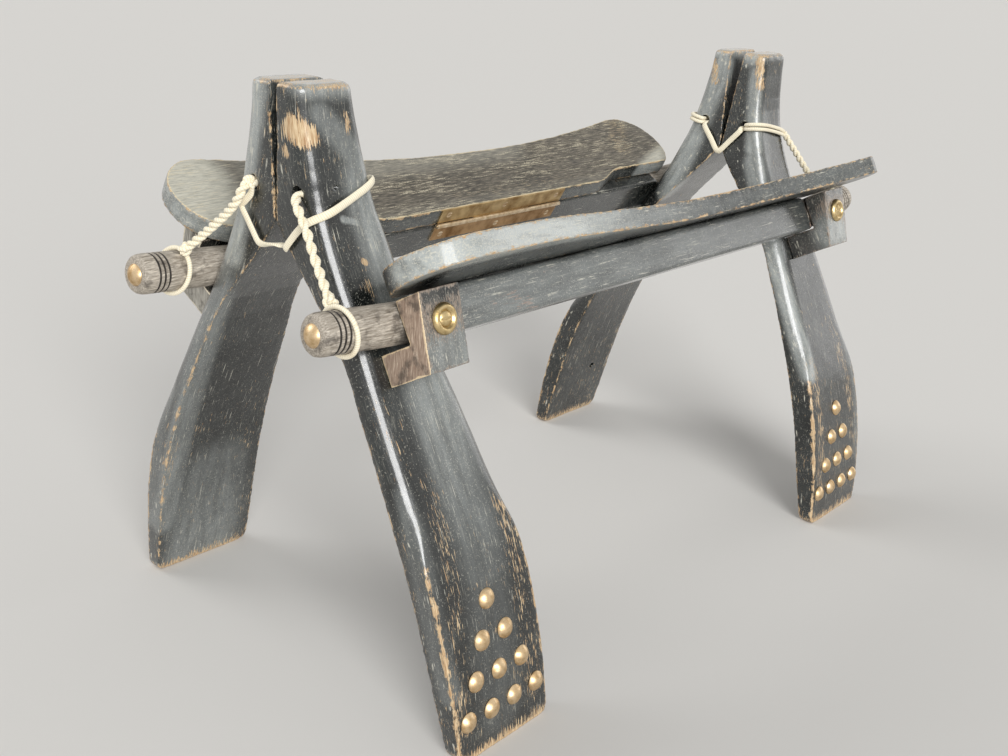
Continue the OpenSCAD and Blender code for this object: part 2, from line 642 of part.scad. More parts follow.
difference() { leg_at(1, -1); nail_hole(); }  // right_front_leg
leg_at(1, 1);  // right_rear_leg
leg_at(-1, -1);  // left_front_leg
difference() { leg_at(-1, 1); peg_hole(); }  // left_rear_leg
side(1) rail(1);  // right_rail
side(-1) rail(-1);  // left_rail
block_at_leg(1, -1);  // right_front_block
block_at_leg(1, 1);  // right_rear_block
block_at_leg(-1, -1);  // left_front_block
block_at_leg(-1, 1);  // left_rear_block
side(1) board(1);  // right_board
side(-1) board(-1);  // left_board
side(1) board_leaf();  // right_board_leaf
side(1) rail_leaf();  // right_rail_leaf
side(1) hinge_pin();  // right_hinge_pin
board_screws(1);  // right_board_screws
rail_screws(1);  // right_rail_screws
side(-1) board_leaf();  // left_board_leaf
side(-1) rail_leaf();  // left_rail_leaf
side(-1) hinge_pin();  // left_hinge_pin
board_screws(-1);  // left_board_screws
rail_screws(-1);  // left_rail_screws
cup_washers(1);  // right_cup_washers
clamp_screws(1);  // right_clamp_screws
cup_washers(-1);  // left_cup_washers
clamp_screws(-1);  // left_clamp_screws
foot_nails(1, -1);  // right_front_foot_nails
foot_nails(1, 1);  // right_rear_foot_nails
foot_nails(-1, -1);  // left_front_foot_nails
foot_nails(-1, 1);  // left_rear_foot_nails
peg_nails(1);  // right_peg_nails
peg_nails(-1);  // left_peg_nails
front_lashing();
rear_lashing();
front_stay(1);  // right_front_stay
rear_stay(1);  // right_rear_stay
front_stay(-1);  // left_front_stay
rear_stay(-1);  // left_rear_stay
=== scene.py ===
"""Camel saddle stool: worn black legs and rails, weathered boards, brass and cotton cord."""

import math

import bpy
import numpy as np
from mathutils import Matrix, Vector
from mathutils.bvhtree import BVHTree
from mathutils.kdtree import KDTree


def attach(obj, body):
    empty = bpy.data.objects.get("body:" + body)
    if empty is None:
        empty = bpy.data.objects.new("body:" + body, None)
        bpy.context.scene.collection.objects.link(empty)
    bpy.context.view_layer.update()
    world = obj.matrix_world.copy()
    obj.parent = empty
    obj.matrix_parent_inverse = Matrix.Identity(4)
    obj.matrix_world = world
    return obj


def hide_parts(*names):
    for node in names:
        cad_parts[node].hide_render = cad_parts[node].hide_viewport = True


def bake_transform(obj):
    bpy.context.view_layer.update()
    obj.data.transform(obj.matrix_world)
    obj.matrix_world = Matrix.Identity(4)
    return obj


bl_info = {
    "name": "Camel Saddle Stool",
    "version": (1, 0, 0),
    "blender": (4, 5, 0),
    "location": "View3D > Sidebar > Stool",
    "description": "Worn black legs and rails, weathered boards, brass and cotton cord",
    "category": "Object",
}

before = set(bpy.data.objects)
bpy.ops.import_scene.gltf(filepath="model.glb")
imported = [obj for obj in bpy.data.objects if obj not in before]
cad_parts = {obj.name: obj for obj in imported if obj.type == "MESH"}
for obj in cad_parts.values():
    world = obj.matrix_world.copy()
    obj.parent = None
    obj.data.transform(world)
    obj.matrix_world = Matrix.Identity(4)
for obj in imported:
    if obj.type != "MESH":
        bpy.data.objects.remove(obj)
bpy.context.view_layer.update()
# The halves and ends of the stool, with the sign that X and Y have there
SIDES = (("right", 1), ("left", -1))
ENDS = (("front", -1), ("rear", 1))


def linear(colour):
    """An sRGB hex colour as the linear RGBA values that Blender works with."""
    parts = [int(colour[i:i + 2], 16) / 255 for i in (1, 3, 5)]
    return (*(c / 12.92 if c <= 0.04045 else ((c + 0.055) / 1.055) ** 2.4 for c in parts), 1.0)


# ---- settings a user would change ----


class StoolSizes(bpy.types.PropertyGroup):
    """Sizes of the finish and of the cords"""

    leg_skin: bpy.props.FloatProperty(
        name="Leg Skin", description="Spacing of the points on a leg's surface",
        default=0.0016, min=0.0014, max=0.004, unit="LENGTH")
    board_skin: bpy.props.FloatProperty(
        name="Board Skin", description="Spacing of the points on a board's surface",
        default=0.0018, min=0.0015, max=0.004, unit="LENGTH")
    rail_skin: bpy.props.FloatProperty(
        name="Rail Skin", description="Spacing of the points on a rail's surface",
        default=0.0019, min=0.0015, max=0.004, unit="LENGTH")
    block_skin: bpy.props.FloatProperty(
        name="Block Skin", description="Spacing of the points on a clamp block's surface",
        default=0.0012, min=0.001, max=0.003, unit="LENGTH")
    hand_wave: bpy.props.FloatProperty(
        name="Hand Wave", description="How far a hand-shaped face strays from true",
        default=0.0005, min=0.0, max=0.002, unit="LENGTH")
    nick: bpy.props.FloatProperty(
        name="Nick", description="Depth of the nicks along the arrises",
        default=0.0004, min=0.0, max=0.004, unit="LENGTH")
    peg_radius: bpy.props.FloatProperty(
        name="Peg Radius", description="Radius of the turned pegs",
        default=0.0165, min=0.015, max=0.017, unit="LENGTH")
    strand: bpy.props.FloatProperty(
        name="Strand", description="Radius of one strand of the cotton cord",
        default=0.0020, min=0.0015, max=0.0022, unit="LENGTH")
    twist: bpy.props.FloatProperty(
        name="Twist", description="Length of one full turn of two twisted strands",
        default=0.0150, min=0.01, max=0.03, unit="LENGTH")


class StoolColours(bpy.types.PropertyGroup):
    """Colours of the finishes"""

    paint: bpy.props.FloatVectorProperty(
        name="Black Paint", description="Old black paint on the legs and rails",
        subtype="COLOR", size=4, min=0, max=1, default=linear("#0f1211"))
    bare_wood: bpy.props.FloatVectorProperty(
        name="Bare Wood", description="Wood where the paint has worn off",
        subtype="COLOR", size=4, min=0, max=1, default=linear("#dcc6a0"))
    # Chalky film, and also a painted sheen: its grey stands in for reflection on lit faces and
    # round-overs
    chalk_and_sheen: bpy.props.FloatVectorProperty(
        name="Chalk", description="Chalky film where the paint is rubbed grey",
        subtype="COLOR", size=4, min=0, max=1, default=linear("#a8adab"))
    board_top: bpy.props.FloatVectorProperty(
        name="Board Top", description="Weathered tops of the boards",
        subtype="COLOR", size=4, min=0, max=1, default=linear("#746d60"))
    peg_wood: bpy.props.FloatVectorProperty(
        name="Peg Wood", description="Handled grey wood of the pegs",
        subtype="COLOR", size=4, min=0, max=1, default=linear("#bfb6a9"))
    brass: bpy.props.FloatVectorProperty(
        name="Brass", description="Rubbed brass of the nails and cups",
        subtype="COLOR", size=4, min=0, max=1, default=linear("#e0c897"))
    cotton: bpy.props.FloatVectorProperty(
        name="Cotton", description="Cotton cord",
        subtype="COLOR", size=4, min=0, max=1, default=linear("#f8f0d8"))
    floor: bpy.props.FloatVectorProperty(
        name="Floor", description="Studio floor",
        subtype="COLOR", size=4, min=0, max=1, default=linear("#d8d6d2"))


# ---- shapes shared by several pieces, in metres ----

SLOPE = math.radians(29)          # tilt of the rails and boards
RAIL_AT = Vector((0.074, 0, 0.350))
RAIL_N = Vector((math.cos(SLOPE), 0, math.sin(SLOPE)))     # away from the leg
RAIL_U = Vector((-math.sin(SLOPE), 0, math.cos(SLOPE)))    # up the slope of the leg
SHOULDER = 0.291                  # from the middle to where a rail ends and its pegs begin
PEG_SLOPE = math.radians(5)
PEG_N, PEG_U = 0.0175, -0.0335    # where a peg's axis leaves the shoulder
# How far each peg's tip lies from the middle, and how far in from the tip its cord loop sits
PEG_TIPS = {"right_front": 0.403, "right_rear": 0.408, "left_front": 0.417, "left_rear": 0.417}
LOOP_IN = {"right_front": 0.025, "right_rear": 0.034, "left_front": 0.037, "left_rear": 0.034}
# How far the upper side of each loop leans towards the tip
LOOP_LEAN = {"right_front": 0.003, "right_rear": 0.0, "left_front": -0.004, "left_rear": 0.001}
# Outer face of a leg as heights and distances from the middle plane
LEG_HEIGHTS = (0, 0.04, 0.08, 0.12, 0.145, 0.17, 0.19, 0.35,
               0.372, 0.392, 0.412, 0.436, 0.465, 0.5)
LEG_OUT = (0.2145, 0.2095, 0.202, 0.1915, 0.183, 0.1725, 0.1627, 0.074,
           0.063, 0.054, 0.0465, 0.041, 0.038, 0.037)
LEG_STRETCH = 1.12                # length along a leg for each metre of height


def on_side(point, s):
    """A point of the right half, taken to side s."""
    return Vector((s * point[0], point[1], point[2]))


def in_rail(n, y, u):
    """A point given away from the leg, along the stool and up the slope."""
    return RAIL_AT + n * RAIL_N + Vector((0, y, 0)) + u * RAIL_U


def on_peg(along, e, out=0.0, turn=0.0):
    """A point of the right half's peg: along from the shoulder, out from the axis."""
    start = in_rail(PEG_N, SHOULDER, PEG_U)
    way = math.cos(PEG_SLOPE) * Vector((0, 1, 0)) + math.sin(PEG_SLOPE) * RAIL_U
    up = math.cos(PEG_SLOPE) * RAIL_U - math.sin(PEG_SLOPE) * Vector((0, 1, 0))
    p = start + along * way + out * (math.cos(turn) * RAIL_N + math.sin(turn) * up)
    return Vector((p.x, e * p.y, p.z))


def peg_length(corner):
    """Length of the peg at a corner, from its shoulder along its axis."""
    return (PEG_TIPS[corner] - SHOULDER) / math.cos(PEG_SLOPE)


def ease(x):
    """A smooth step from 0 to 1."""
    x = np.clip(x, 0, 1)
    return x * x * (3 - 2 * x)


# ---- small steps of modelling ----

MERGE = 0.00001         # points closer than this are one
SHARP = 38              # degrees from which an edge counts as an arris
SMALL_RIM = 0.0009      # edges shorter than this belong to the rims of nail holes
ARRIS_STEP = 0.0012     # spacing of the points along an arris
ARRIS_BAND = 0.006      # how far from an arris its softening and its nicks reach
FOOT_TOP = 0.170        # height to which a foot's outer arrises run


def only(obj):
    """Selects obj alone and makes it active."""
    if bpy.context.object and bpy.context.object.mode != "OBJECT":
        bpy.ops.object.mode_set(mode="OBJECT")
    bpy.ops.object.select_all(action="DESELECT")
    obj.hide_set(False)
    obj.select_set(True)
    bpy.context.view_layer.objects.active = obj


def cad_copy(node_name, name):
    """A merged copy of a CAD node's mesh, as a new object."""
    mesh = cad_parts[node_name].data.copy()
    mesh.materials.clear()
    obj = bpy.data.objects.new(name, mesh)
    bpy.context.scene.collection.objects.link(obj)
    only(obj)
    bpy.ops.mesh.customdata_custom_splitnormals_clear()
    bpy.ops.object.mode_set(mode="EDIT")
    bpy.ops.mesh.select_all(action="SELECT")
    bpy.ops.mesh.remove_doubles(threshold=MERGE)
    bpy.ops.object.mode_set(mode="OBJECT")
    return obj


def sharp_points(obj):
    """Points along the arrises of obj, apart from the rims of nail holes."""
    only(obj)
    bpy.ops.object.mode_set(mode="EDIT")
    bpy.ops.mesh.select_mode(type="EDGE")
    bpy.ops.mesh.select_all(action="DESELECT")
    bpy.ops.mesh.edges_select_sharp(sharpness=math.radians(SHARP))
    bpy.ops.object.mode_set(mode="OBJECT")
    points = []
    for edge in obj.data.edges:
        a, b = (obj.data.vertices[i].co for i in edge.vertices)
        if edge.select and (b - a).length > SMALL_RIM:
            n = max(1, int((b - a).length / ARRIS_STEP))
            points += [a.lerp(b, k / n) for k in range(n + 1)]
    return points


def apply_modifier(obj, kind, **settings):
    """Adds a modifier with its settings and applies it."""
    only(obj)
    made = obj.modifiers.new(kind.title(), kind)
    for name, value in settings.items():
        setattr(made, name, value)
    bpy.ops.object.modifier_apply(modifier=made.name)


def cloud(name, size, **settings):
    """A clouds texture for hand-made unevenness."""
    made = bpy.data.textures.get(name) or bpy.data.textures.new(name, "CLOUDS")
    made.noise_scale = size
    for key, value in settings.items():
        setattr(made, key, value)
    return made


def coordinates(mesh):
    """The vertices of a mesh as an array."""
    flat = np.zeros(len(mesh.vertices) * 3)
    mesh.vertices.foreach_get("co", flat)
    return flat.reshape(-1, 3)


def move_points(mesh, co):
    """Moves the vertices of a mesh to the rows of an array."""
    mesh.vertices.foreach_set("co", co.ravel())
    mesh.update()


def keep(obj, name, values, kind="FLOAT", field="value"):
    """Keeps values for the points of obj on its mesh, for its material to read."""
    kept = obj.data.attributes.new(name, kind, "POINT").data
    kept.foreach_set(field, np.asarray(values, np.float32).ravel())


def grain_of_leg(co):
    """Depth below the outer face, place across and length along a leg, for each point."""
    depth = np.interp(co[:, 2], LEG_HEIGHTS, LEG_OUT) - np.abs(co[:, 0])
    return np.column_stack((depth, co[:, 1], co[:, 2] * LEG_STRETCH))


def grain_of_rail(co):
    """Depth, height and length along a rail or board, for each point."""
    rel = co * (np.sign(co[:, :1].mean()), 1, 1) - np.array(RAIL_AT)
    return np.column_stack((rel @ np.array(RAIL_N), rel @ np.array(RAIL_U), co[:, 1]))


def grain_of_block(co):
    """Depth, place along the stool and height of a block, its grain upright."""
    g = grain_of_rail(co)
    return g[:, [0, 2, 1]]


def store(obj, grain, arrises):
    """Keeps each point's grain coordinates and its distance from the nearest arris on the mesh."""
    co = coordinates(obj.data)
    tree = KDTree(len(arrises))
    for i, p in enumerate(arrises):
        tree.insert(p, i)
    tree.balance()
    keep(obj, "arris", [tree.find(p)[2] for p in co])
    keep(obj, "grain", grain(co), "FLOAT_VECTOR", "vector")


def brush(co, strokes):
    """How strongly each point is touched by strokes of (start, end, radius, amount), in
    millimetres. The amount is one number, or a pair for the start and the end. It holds over the
    inner three eighths of the radius and fades from there."""
    touched = np.zeros(len(co), np.float32)
    for start, stop, radius, amount in strokes:
        a, b = np.array(start) / 1000, np.array(stop) / 1000
        along = np.clip((co - a) @ (b - a) / ((b - a) @ (b - a)), 0, 1)
        far = np.linalg.norm(co - a - along[:, None] * (b - a), axis=1) * 1000 / radius
        ends = amount if isinstance(amount, tuple) else (amount, amount)
        touched = np.maximum(touched, np.interp(along, (0, 1), ends) * ease(1.6 * (1 - far)))
    return touched


def mirrored(strokes, s, e=-1):
    """Strokes drawn on the right front of the stool, taken to side s and end e."""
    return [((s * a[0], -e * a[1], a[2]), (s * b[0], -e * b[1], b[2]), radius, amount)
            for a, b, radius, amount in strokes]


def mark(obj, wear, chalk_and_sheen):
    """Keeps on the mesh where a piece is worn bare and where it is chalky or painted with sheen."""
    co = coordinates(obj.data)
    keep(obj, "wear", brush(co, wear))
    keep(obj, "chalk_and_sheen", brush(co, chalk_and_sheen))


def foot_arris(obj):
    """Points along the two outer arrises of a foot, up to their tongues."""
    co = coordinates(obj.data)
    step = 0.002
    points = []
    for way in (1, -1):
        reach = np.abs(co[:, 0]) + way * np.abs(co[:, 1])
        corners = np.array([co[np.argmax(np.where(np.abs(co[:, 2] - z) < 0.75 * step, reach, -1))]
                            for z in np.arange(step, FOOT_TOP, step)])
        smooth = np.array([corners[max(0, i - 4):i + 5].mean(axis=0) for i in range(len(corners))])
        points += [Vector(a).lerp(Vector(b), k / 2) for a, b in zip(smooth, smooth[1:])
                   for k in range(2)]
    return points


def worn_copy(node_name, name, skin, grain, wave, nick, soften=3, trim=None, more_arrises=None):
    """A CAD node's shape with one dense skin, softened arrises, nicks and hand-made faces.
    skin is the spacing of its points, wave and nick are how far its faces stray and its arrises
    are dented, and soften is how often the arrises are smoothed. trim cuts the copy first, and
    more_arrises finds arrises that aren't sharp."""
    obj = cad_copy(node_name, name)
    if trim:
        trim(obj)
    arrises = sharp_points(obj)
    obj.data.remesh_voxel_size = skin
    only(obj)
    bpy.ops.object.voxel_remesh()
    if more_arrises:
        arrises += more_arrises(obj)
    store(obj, grain, arrises)
    near = np.zeros(len(obj.data.vertices), np.float32)
    obj.data.attributes["arris"].data.foreach_get("value", near)
    group = obj.vertex_groups.new(name="arris")
    for i in np.nonzero(near < ARRIS_BAND)[0]:
        group.add([int(i)], float(1 - near[i] / ARRIS_BAND), "REPLACE")
    apply_modifier(obj, "SMOOTH", factor=0.5, iterations=soften, vertex_group="arris")
    apply_modifier(obj, "DISPLACE", texture=cloud("hand waves", 0.07), texture_coords="LOCAL",
                   strength=2 * wave, mid_level=0.5)
    apply_modifier(obj, "DISPLACE", texture=cloud("nicks", 0.007, intensity=0.75, contrast=3.0),
                   texture_coords="LOCAL", strength=nick, mid_level=1.0, vertex_group="arris")
    obj.vertex_groups.clear()
    only(obj)
    bpy.ops.object.shade_smooth()
    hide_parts(node_name)
    return obj


def crisp_copy(node_name, name, bevel, degrees=35):
    """A CAD node's shape with its flat faces whole and its edges lightly rounded."""
    obj = cad_copy(node_name, name)
    bpy.ops.object.mode_set(mode="EDIT")
    bpy.ops.mesh.select_all(action="SELECT")
    bpy.ops.mesh.dissolve_limited(angle_limit=math.radians(0.5))
    bpy.ops.object.mode_set(mode="OBJECT")
    apply_modifier(obj, "BEVEL", width=bevel, segments=2, limit_method="ANGLE",
                   angle_limit=math.radians(degrees), use_clamp_overlap=True)
    bpy.ops.object.shade_smooth_by_angle(angle=math.radians(degrees))
    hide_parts(node_name)
    return obj


def turned(name, outline):
    """A shape turned on a lathe about its own Z axis, from its outline of (radius, height)."""
    mesh = bpy.data.meshes.new(name)
    mesh.from_pydata([(r, 0, z) for r, z in outline],
                     [(i, i + 1) for i in range(len(outline) - 1)], [])
    obj = bpy.data.objects.new(name, mesh)
    bpy.context.scene.collection.objects.link(obj)
    only(obj)
    bpy.ops.object.mode_set(mode="EDIT")
    bpy.ops.mesh.select_all(action="SELECT")
    bpy.ops.mesh.spin(steps=64, angle=2 * math.pi, center=(0, 0, 0), axis=(0, 0, 1))
    bpy.ops.mesh.select_all(action="SELECT")
    bpy.ops.mesh.remove_doubles(threshold=MERGE)
    bpy.ops.mesh.normals_make_consistent(inside=False)
    bpy.ops.object.mode_set(mode="OBJECT")
    return obj


def placed(obj, at, way):
    """Stands obj's Z axis along way at a point, with its place in its mesh."""
    z = way.normalized()
    x = z.orthogonal().normalized()
    place = Matrix((x, z.cross(x), z)).transposed().to_4x4()
    place.translation = at
    obj.matrix_world = place
    only(obj)
    bpy.ops.object.transform_apply(location=True, rotation=True, scale=True)


def joined(objects, name):
    """Several objects as one."""
    only(objects[0])
    for o in objects[1:]:
        o.select_set(True)
    bpy.ops.object.join()
    bpy.context.object.name = name
    return bpy.context.object


def dress(obj, material, body):
    """Gives a finished piece its material and its slot, and its body where it has one."""
    obj.data.materials.clear()
    obj.data.materials.append(material)
    if body:
        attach(obj, body)


# ---- materials ----

# Sockets go by number where names are shared or long. Math takes 0, 1 and 2 in order. Map Range
# takes the span from 1 to 2 to the span from 3 to 4, which is 0 to 1 where it isn't given. Mix has
# its factor in 0, its colours in 6 and 7 and its numbers in 2 and 3, and gives a colour in output 2
# and a number in output 0. Texture Coordinate gives the place on the object in output 3, and
# Attribute gives its vector in output 1 and its number in output 2.


def node(tree, kind, inputs=None, out=0, **settings):
    """Adds a node, sets its properties, fills its inputs with values or links, and returns one
    of its outputs."""
    made = tree.nodes.new("ShaderNode" + kind)
    for name, value in settings.items():
        setattr(made, name, value)
    for key, value in (inputs or {}).items():
        if isinstance(value, bpy.types.NodeSocket):
            tree.links.new(value, made.inputs[key])
        else:
            made.inputs[key].default_value = value
    return made.outputs[out] if made.outputs else None


def begin(name):
    """A new material with an empty node tree."""
    made = bpy.data.materials.new(name)
    made.use_nodes = True
    made.node_tree.nodes.clear()
    return made, made.node_tree


def black_paint(name, colours, dust=0.42, streaks=1.0, arris_wear=1.4, film="#1e2323",
                under="#a67f55", wood_colour=None, coat=0.9):
    """Brushed black oil paint on hardwood, handled for decades: a soft gloss, greyed by fine
    scuffs and by a chalky film that also paints a sheen onto lit faces, dust in its open grain,
    bare wood on the arrises and round the sole. dust, streaks and arris_wear are how much of each
    shows. film is the paint's lighter black, and under is the wood's colour in its pores."""
    made, t = begin(name)
    place = node(t, "TexCoord", out=3)
    up = node(t, "SeparateXYZ", {0: place}, out=2)
    grain = node(t, "Attribute", out=1, attribute_name="grain")
    depth = node(t, "SeparateXYZ", {0: grain}, out=0)
    arris, wear, chalk_and_sheen = (node(t, "Attribute", out=2, attribute_name=kept)
                          for kept in ("arris", "wear", "chalk_and_sheen"))
    # Drawn out along the grain: open pores 0.7 mm wide and 13 mm long, streaks that shed their
    # paint 1.1 mm wide and 12 mm long, soft streaks of film and painted sheen 8 mm wide, 50 mm long
    pores, streak, wash = (node(t, "TexNoise", {
        "Vector": node(t, "Mapping", {"Vector": grain, "Scale": (1, 1, along)}),
        "Scale": scale, "Detail": detail, "Roughness": roughness})
        for along, scale, detail, roughness in (
            (0.05, 1500.0, 2.0, 0.60), (0.09, 900.0, 4.0, 0.62), (0.15, 130.0, 3.0, 0.50)))
    # Scratches from handling, 0.4 mm wide, across the grain in two directions
    scratch = [node(t, "TexNoise", {
        "Vector": node(t, "Mapping", {"Vector": grain, "Rotation": (turn, 0, 0),
                                      "Scale": (0.3, 1, 0.035)}),
        "Scale": 900.0, "Detail": 1.0}) for turn in (0.75, -0.5)]
    # Handling marks 40 mm across, chips of 8 mm, rubbed spots of 3 mm and dust specks of 1 mm
    blotch, chip, spot, speck = (node(t, "TexNoise", {
        "Vector": place, "Scale": scale, "Detail": detail, "Roughness": roughness})
        for scale, detail, roughness in (
            (24.0, 3.0, 0.55), (120.0, 4.0, 0.65), (330.0, 4.0, 0.70), (800.0, 2.0, 0.55)))
    # Bare arrises: distance from the arris, made ragged by the grain and by chips. The outer
    # arrises of a foot are rubbed a little wider
    even = 0.01064      # what the grain and the chips add on average
    low_down = node(t, "MapRange", {"Value": up, 1: FOOT_TOP + 0.002, 2: FOOT_TOP - 0.008})
    outside = node(t, "MapRange", {"Value": depth, 1: 0.015, 2: 0.010})
    foot = node(t, "Math", {0: low_down, 1: outside}, operation="MULTIPLY")
    ragged = arris
    for part, weight in ((streak, 0.010), (chip, 0.012), (foot, -0.0013)):
        ragged = node(t, "Math", {0: part, 1: weight, 2: ragged}, operation="MULTIPLY_ADD")
    rubbed = node(t, "MapRange", {"Value": ragged, 1: even + 0.0010 * arris_wear,
                                  2: even + 0.0002 * arris_wear})
    # Bare sole, with a ragged upper edge along the grain
    hem = node(t, "Math", {0: streak, 1: -0.050, 2: up}, operation="MULTIPLY_ADD")
    sole = node(t, "MapRange", {"Value": hem, 1: -0.019, 2: -0.0215})
    # Grain sheds most at a stroke of wear and low on the leg, least under chalk or painted sheen
    low = node(t, "MapRange", {"Value": up, 1: 0.24, 2: 0.10, 4: 0.030})
    loose = node(t, "Math", {0: streak, 1: low}, operation="ADD")
    for part, weight in ((wear, 0.17), (blotch, 0.26), (chip, 0.24), (chalk_and_sheen, -0.05)):
        loose = node(t, "Math", {0: part, 1: weight, 2: loose}, operation="MULTIPLY_ADD")
    shed = node(t, "MapRange", {"Value": loose, 1: 0.930, 2: 0.965, 4: streaks})
    bare = node(t, "Math", {0: rubbed, 1: sole}, operation="MAXIMUM")
    bare = node(t, "Math", {0: bare, 1: shed}, operation="MAXIMUM", use_clamp=True)
    # Dust in the pores, and specks of it
    dusty_place = node(t, "Math", {0: chalk_and_sheen, 1: 0.2, 2: blotch}, operation="MULTIPLY_ADD")
    dusty_place = node(t, "MapRange", {"Value": dusty_place, 1: 0.42, 2: 0.62})
    in_pores = node(t, "MapRange", {"Value": pores, 1: 0.56, 2: 0.72, 4: 0.6})
    in_pores = node(t, "Math", {0: in_pores, 1: dusty_place}, operation="MULTIPLY")
    specks = node(t, "Math", {0: chalk_and_sheen, 1: 0.06, 2: speck}, operation="MULTIPLY_ADD")
    specks = node(t, "MapRange", {"Value": specks, 1: 0.62, 2: 0.72})
    dusty = node(t, "Math", {0: in_pores, 1: specks}, operation="MAXIMUM")
    dusty = node(t, "Math", {0: dusty, 1: dust}, operation="MULTIPLY")
    # Fine scuffs, in broken lines
    lines = node(t, "Math", {0: scratch[0], 1: scratch[1]}, operation="MAXIMUM")
    lines = node(t, "Math", {0: chalk_and_sheen, 1: 0.05, 2: lines}, operation="MULTIPLY_ADD")
    lines = node(t, "MapRange", {"Value": lines, 1: 0.700, 2: 0.750, 4: 0.8})
    broken = node(t, "MapRange", {"Value": chip, 1: 0.42, 2: 0.56})
    lines = node(t, "Math", {0: lines, 1: broken}, operation="MULTIPLY")
    scuffed = node(t, "Math", {0: dusty, 1: lines}, operation="MAXIMUM")
    # Chalky film where rubbed and painted sheen on lit faces and round-overs, drawn along the grain
    drawn = node(t, "MapRange", {"Value": wash, 1: 0.32, 2: 0.68, 3: 0.50, 4: 0.92})
    spotty = node(t, "MapRange", {"Value": spot, 1: 0.36, 2: 0.64, 3: 0.88, 4: 1.06})
    chalky_sheen = node(t, "Math", {0: drawn, 1: spotty}, operation="MULTIPLY")
    chalky_sheen = node(t, "Math", {0: chalky_sheen, 1: chalk_and_sheen}, operation="MULTIPLY", use_clamp=True)
    # The wood itself, darker in its pores, and the paint, uneven in its black
    dark_to_light = node(t, "MapRange", {"Value": pores, 1: 0.36, 2: 0.64})
    wood = node(t, "Mix", {0: dark_to_light, 6: linear(under),
                           7: wood_colour or colours.bare_wood}, out=2, data_type="RGBA")
    broad = node(t, "MapRange", {"Value": blotch, 1: 0.36, 2: 0.68})
    colour = node(t, "Mix", {0: broad, 6: colours.paint, 7: linear(film)}, out=2,
                  data_type="RGBA")
    for cover, layer in ((chalky_sheen, colours.chalk_and_sheen), (scuffed, linear("#cbc8ba")), (bare, wood)):
        colour = node(t, "Mix", {0: cover, 6: colour, 7: layer}, out=2, data_type="RGBA")
    # A soft gloss, duller where the paint is handled, matt on dust and on wood
    handled = node(t, "Math", {0: chip, 1: blotch}, operation="ADD")
    gloss = node(t, "MapRange", {"Value": handled, 1: 0.75, 2: 1.3, 3: 0.22, 4: 0.38})
    matt = node(t, "Math", {0: scuffed, 1: 0.7}, operation="MULTIPLY")
    matt = node(t, "Math", {0: bare, 1: matt}, operation="MAXIMUM")
    rough = node(t, "Mix", {0: matt, 2: gloss, 3: 0.72}, data_type="FLOAT")
    height = node(t, "Math", {0: pores, 1: -0.00022}, operation="MULTIPLY")
    for part, rise in ((bare, -0.00030), (chip, 0.0006)):
        height = node(t, "Math", {0: part, 1: rise, 2: height}, operation="MULTIPLY_ADD")
    bump = node(t, "Bump", {"Strength": 0.55, "Distance": 1.0, "Height": height})
    shader = node(t, "BsdfPrincipled", {"Base Color": colour, "Roughness": rough, "IOR": 1.45,
                                        "Coat Weight": coat, "Coat Roughness": 0.17,
                                        "Normal": bump})
    node(t, "OutputMaterial", {"Surface": shader})
    return made


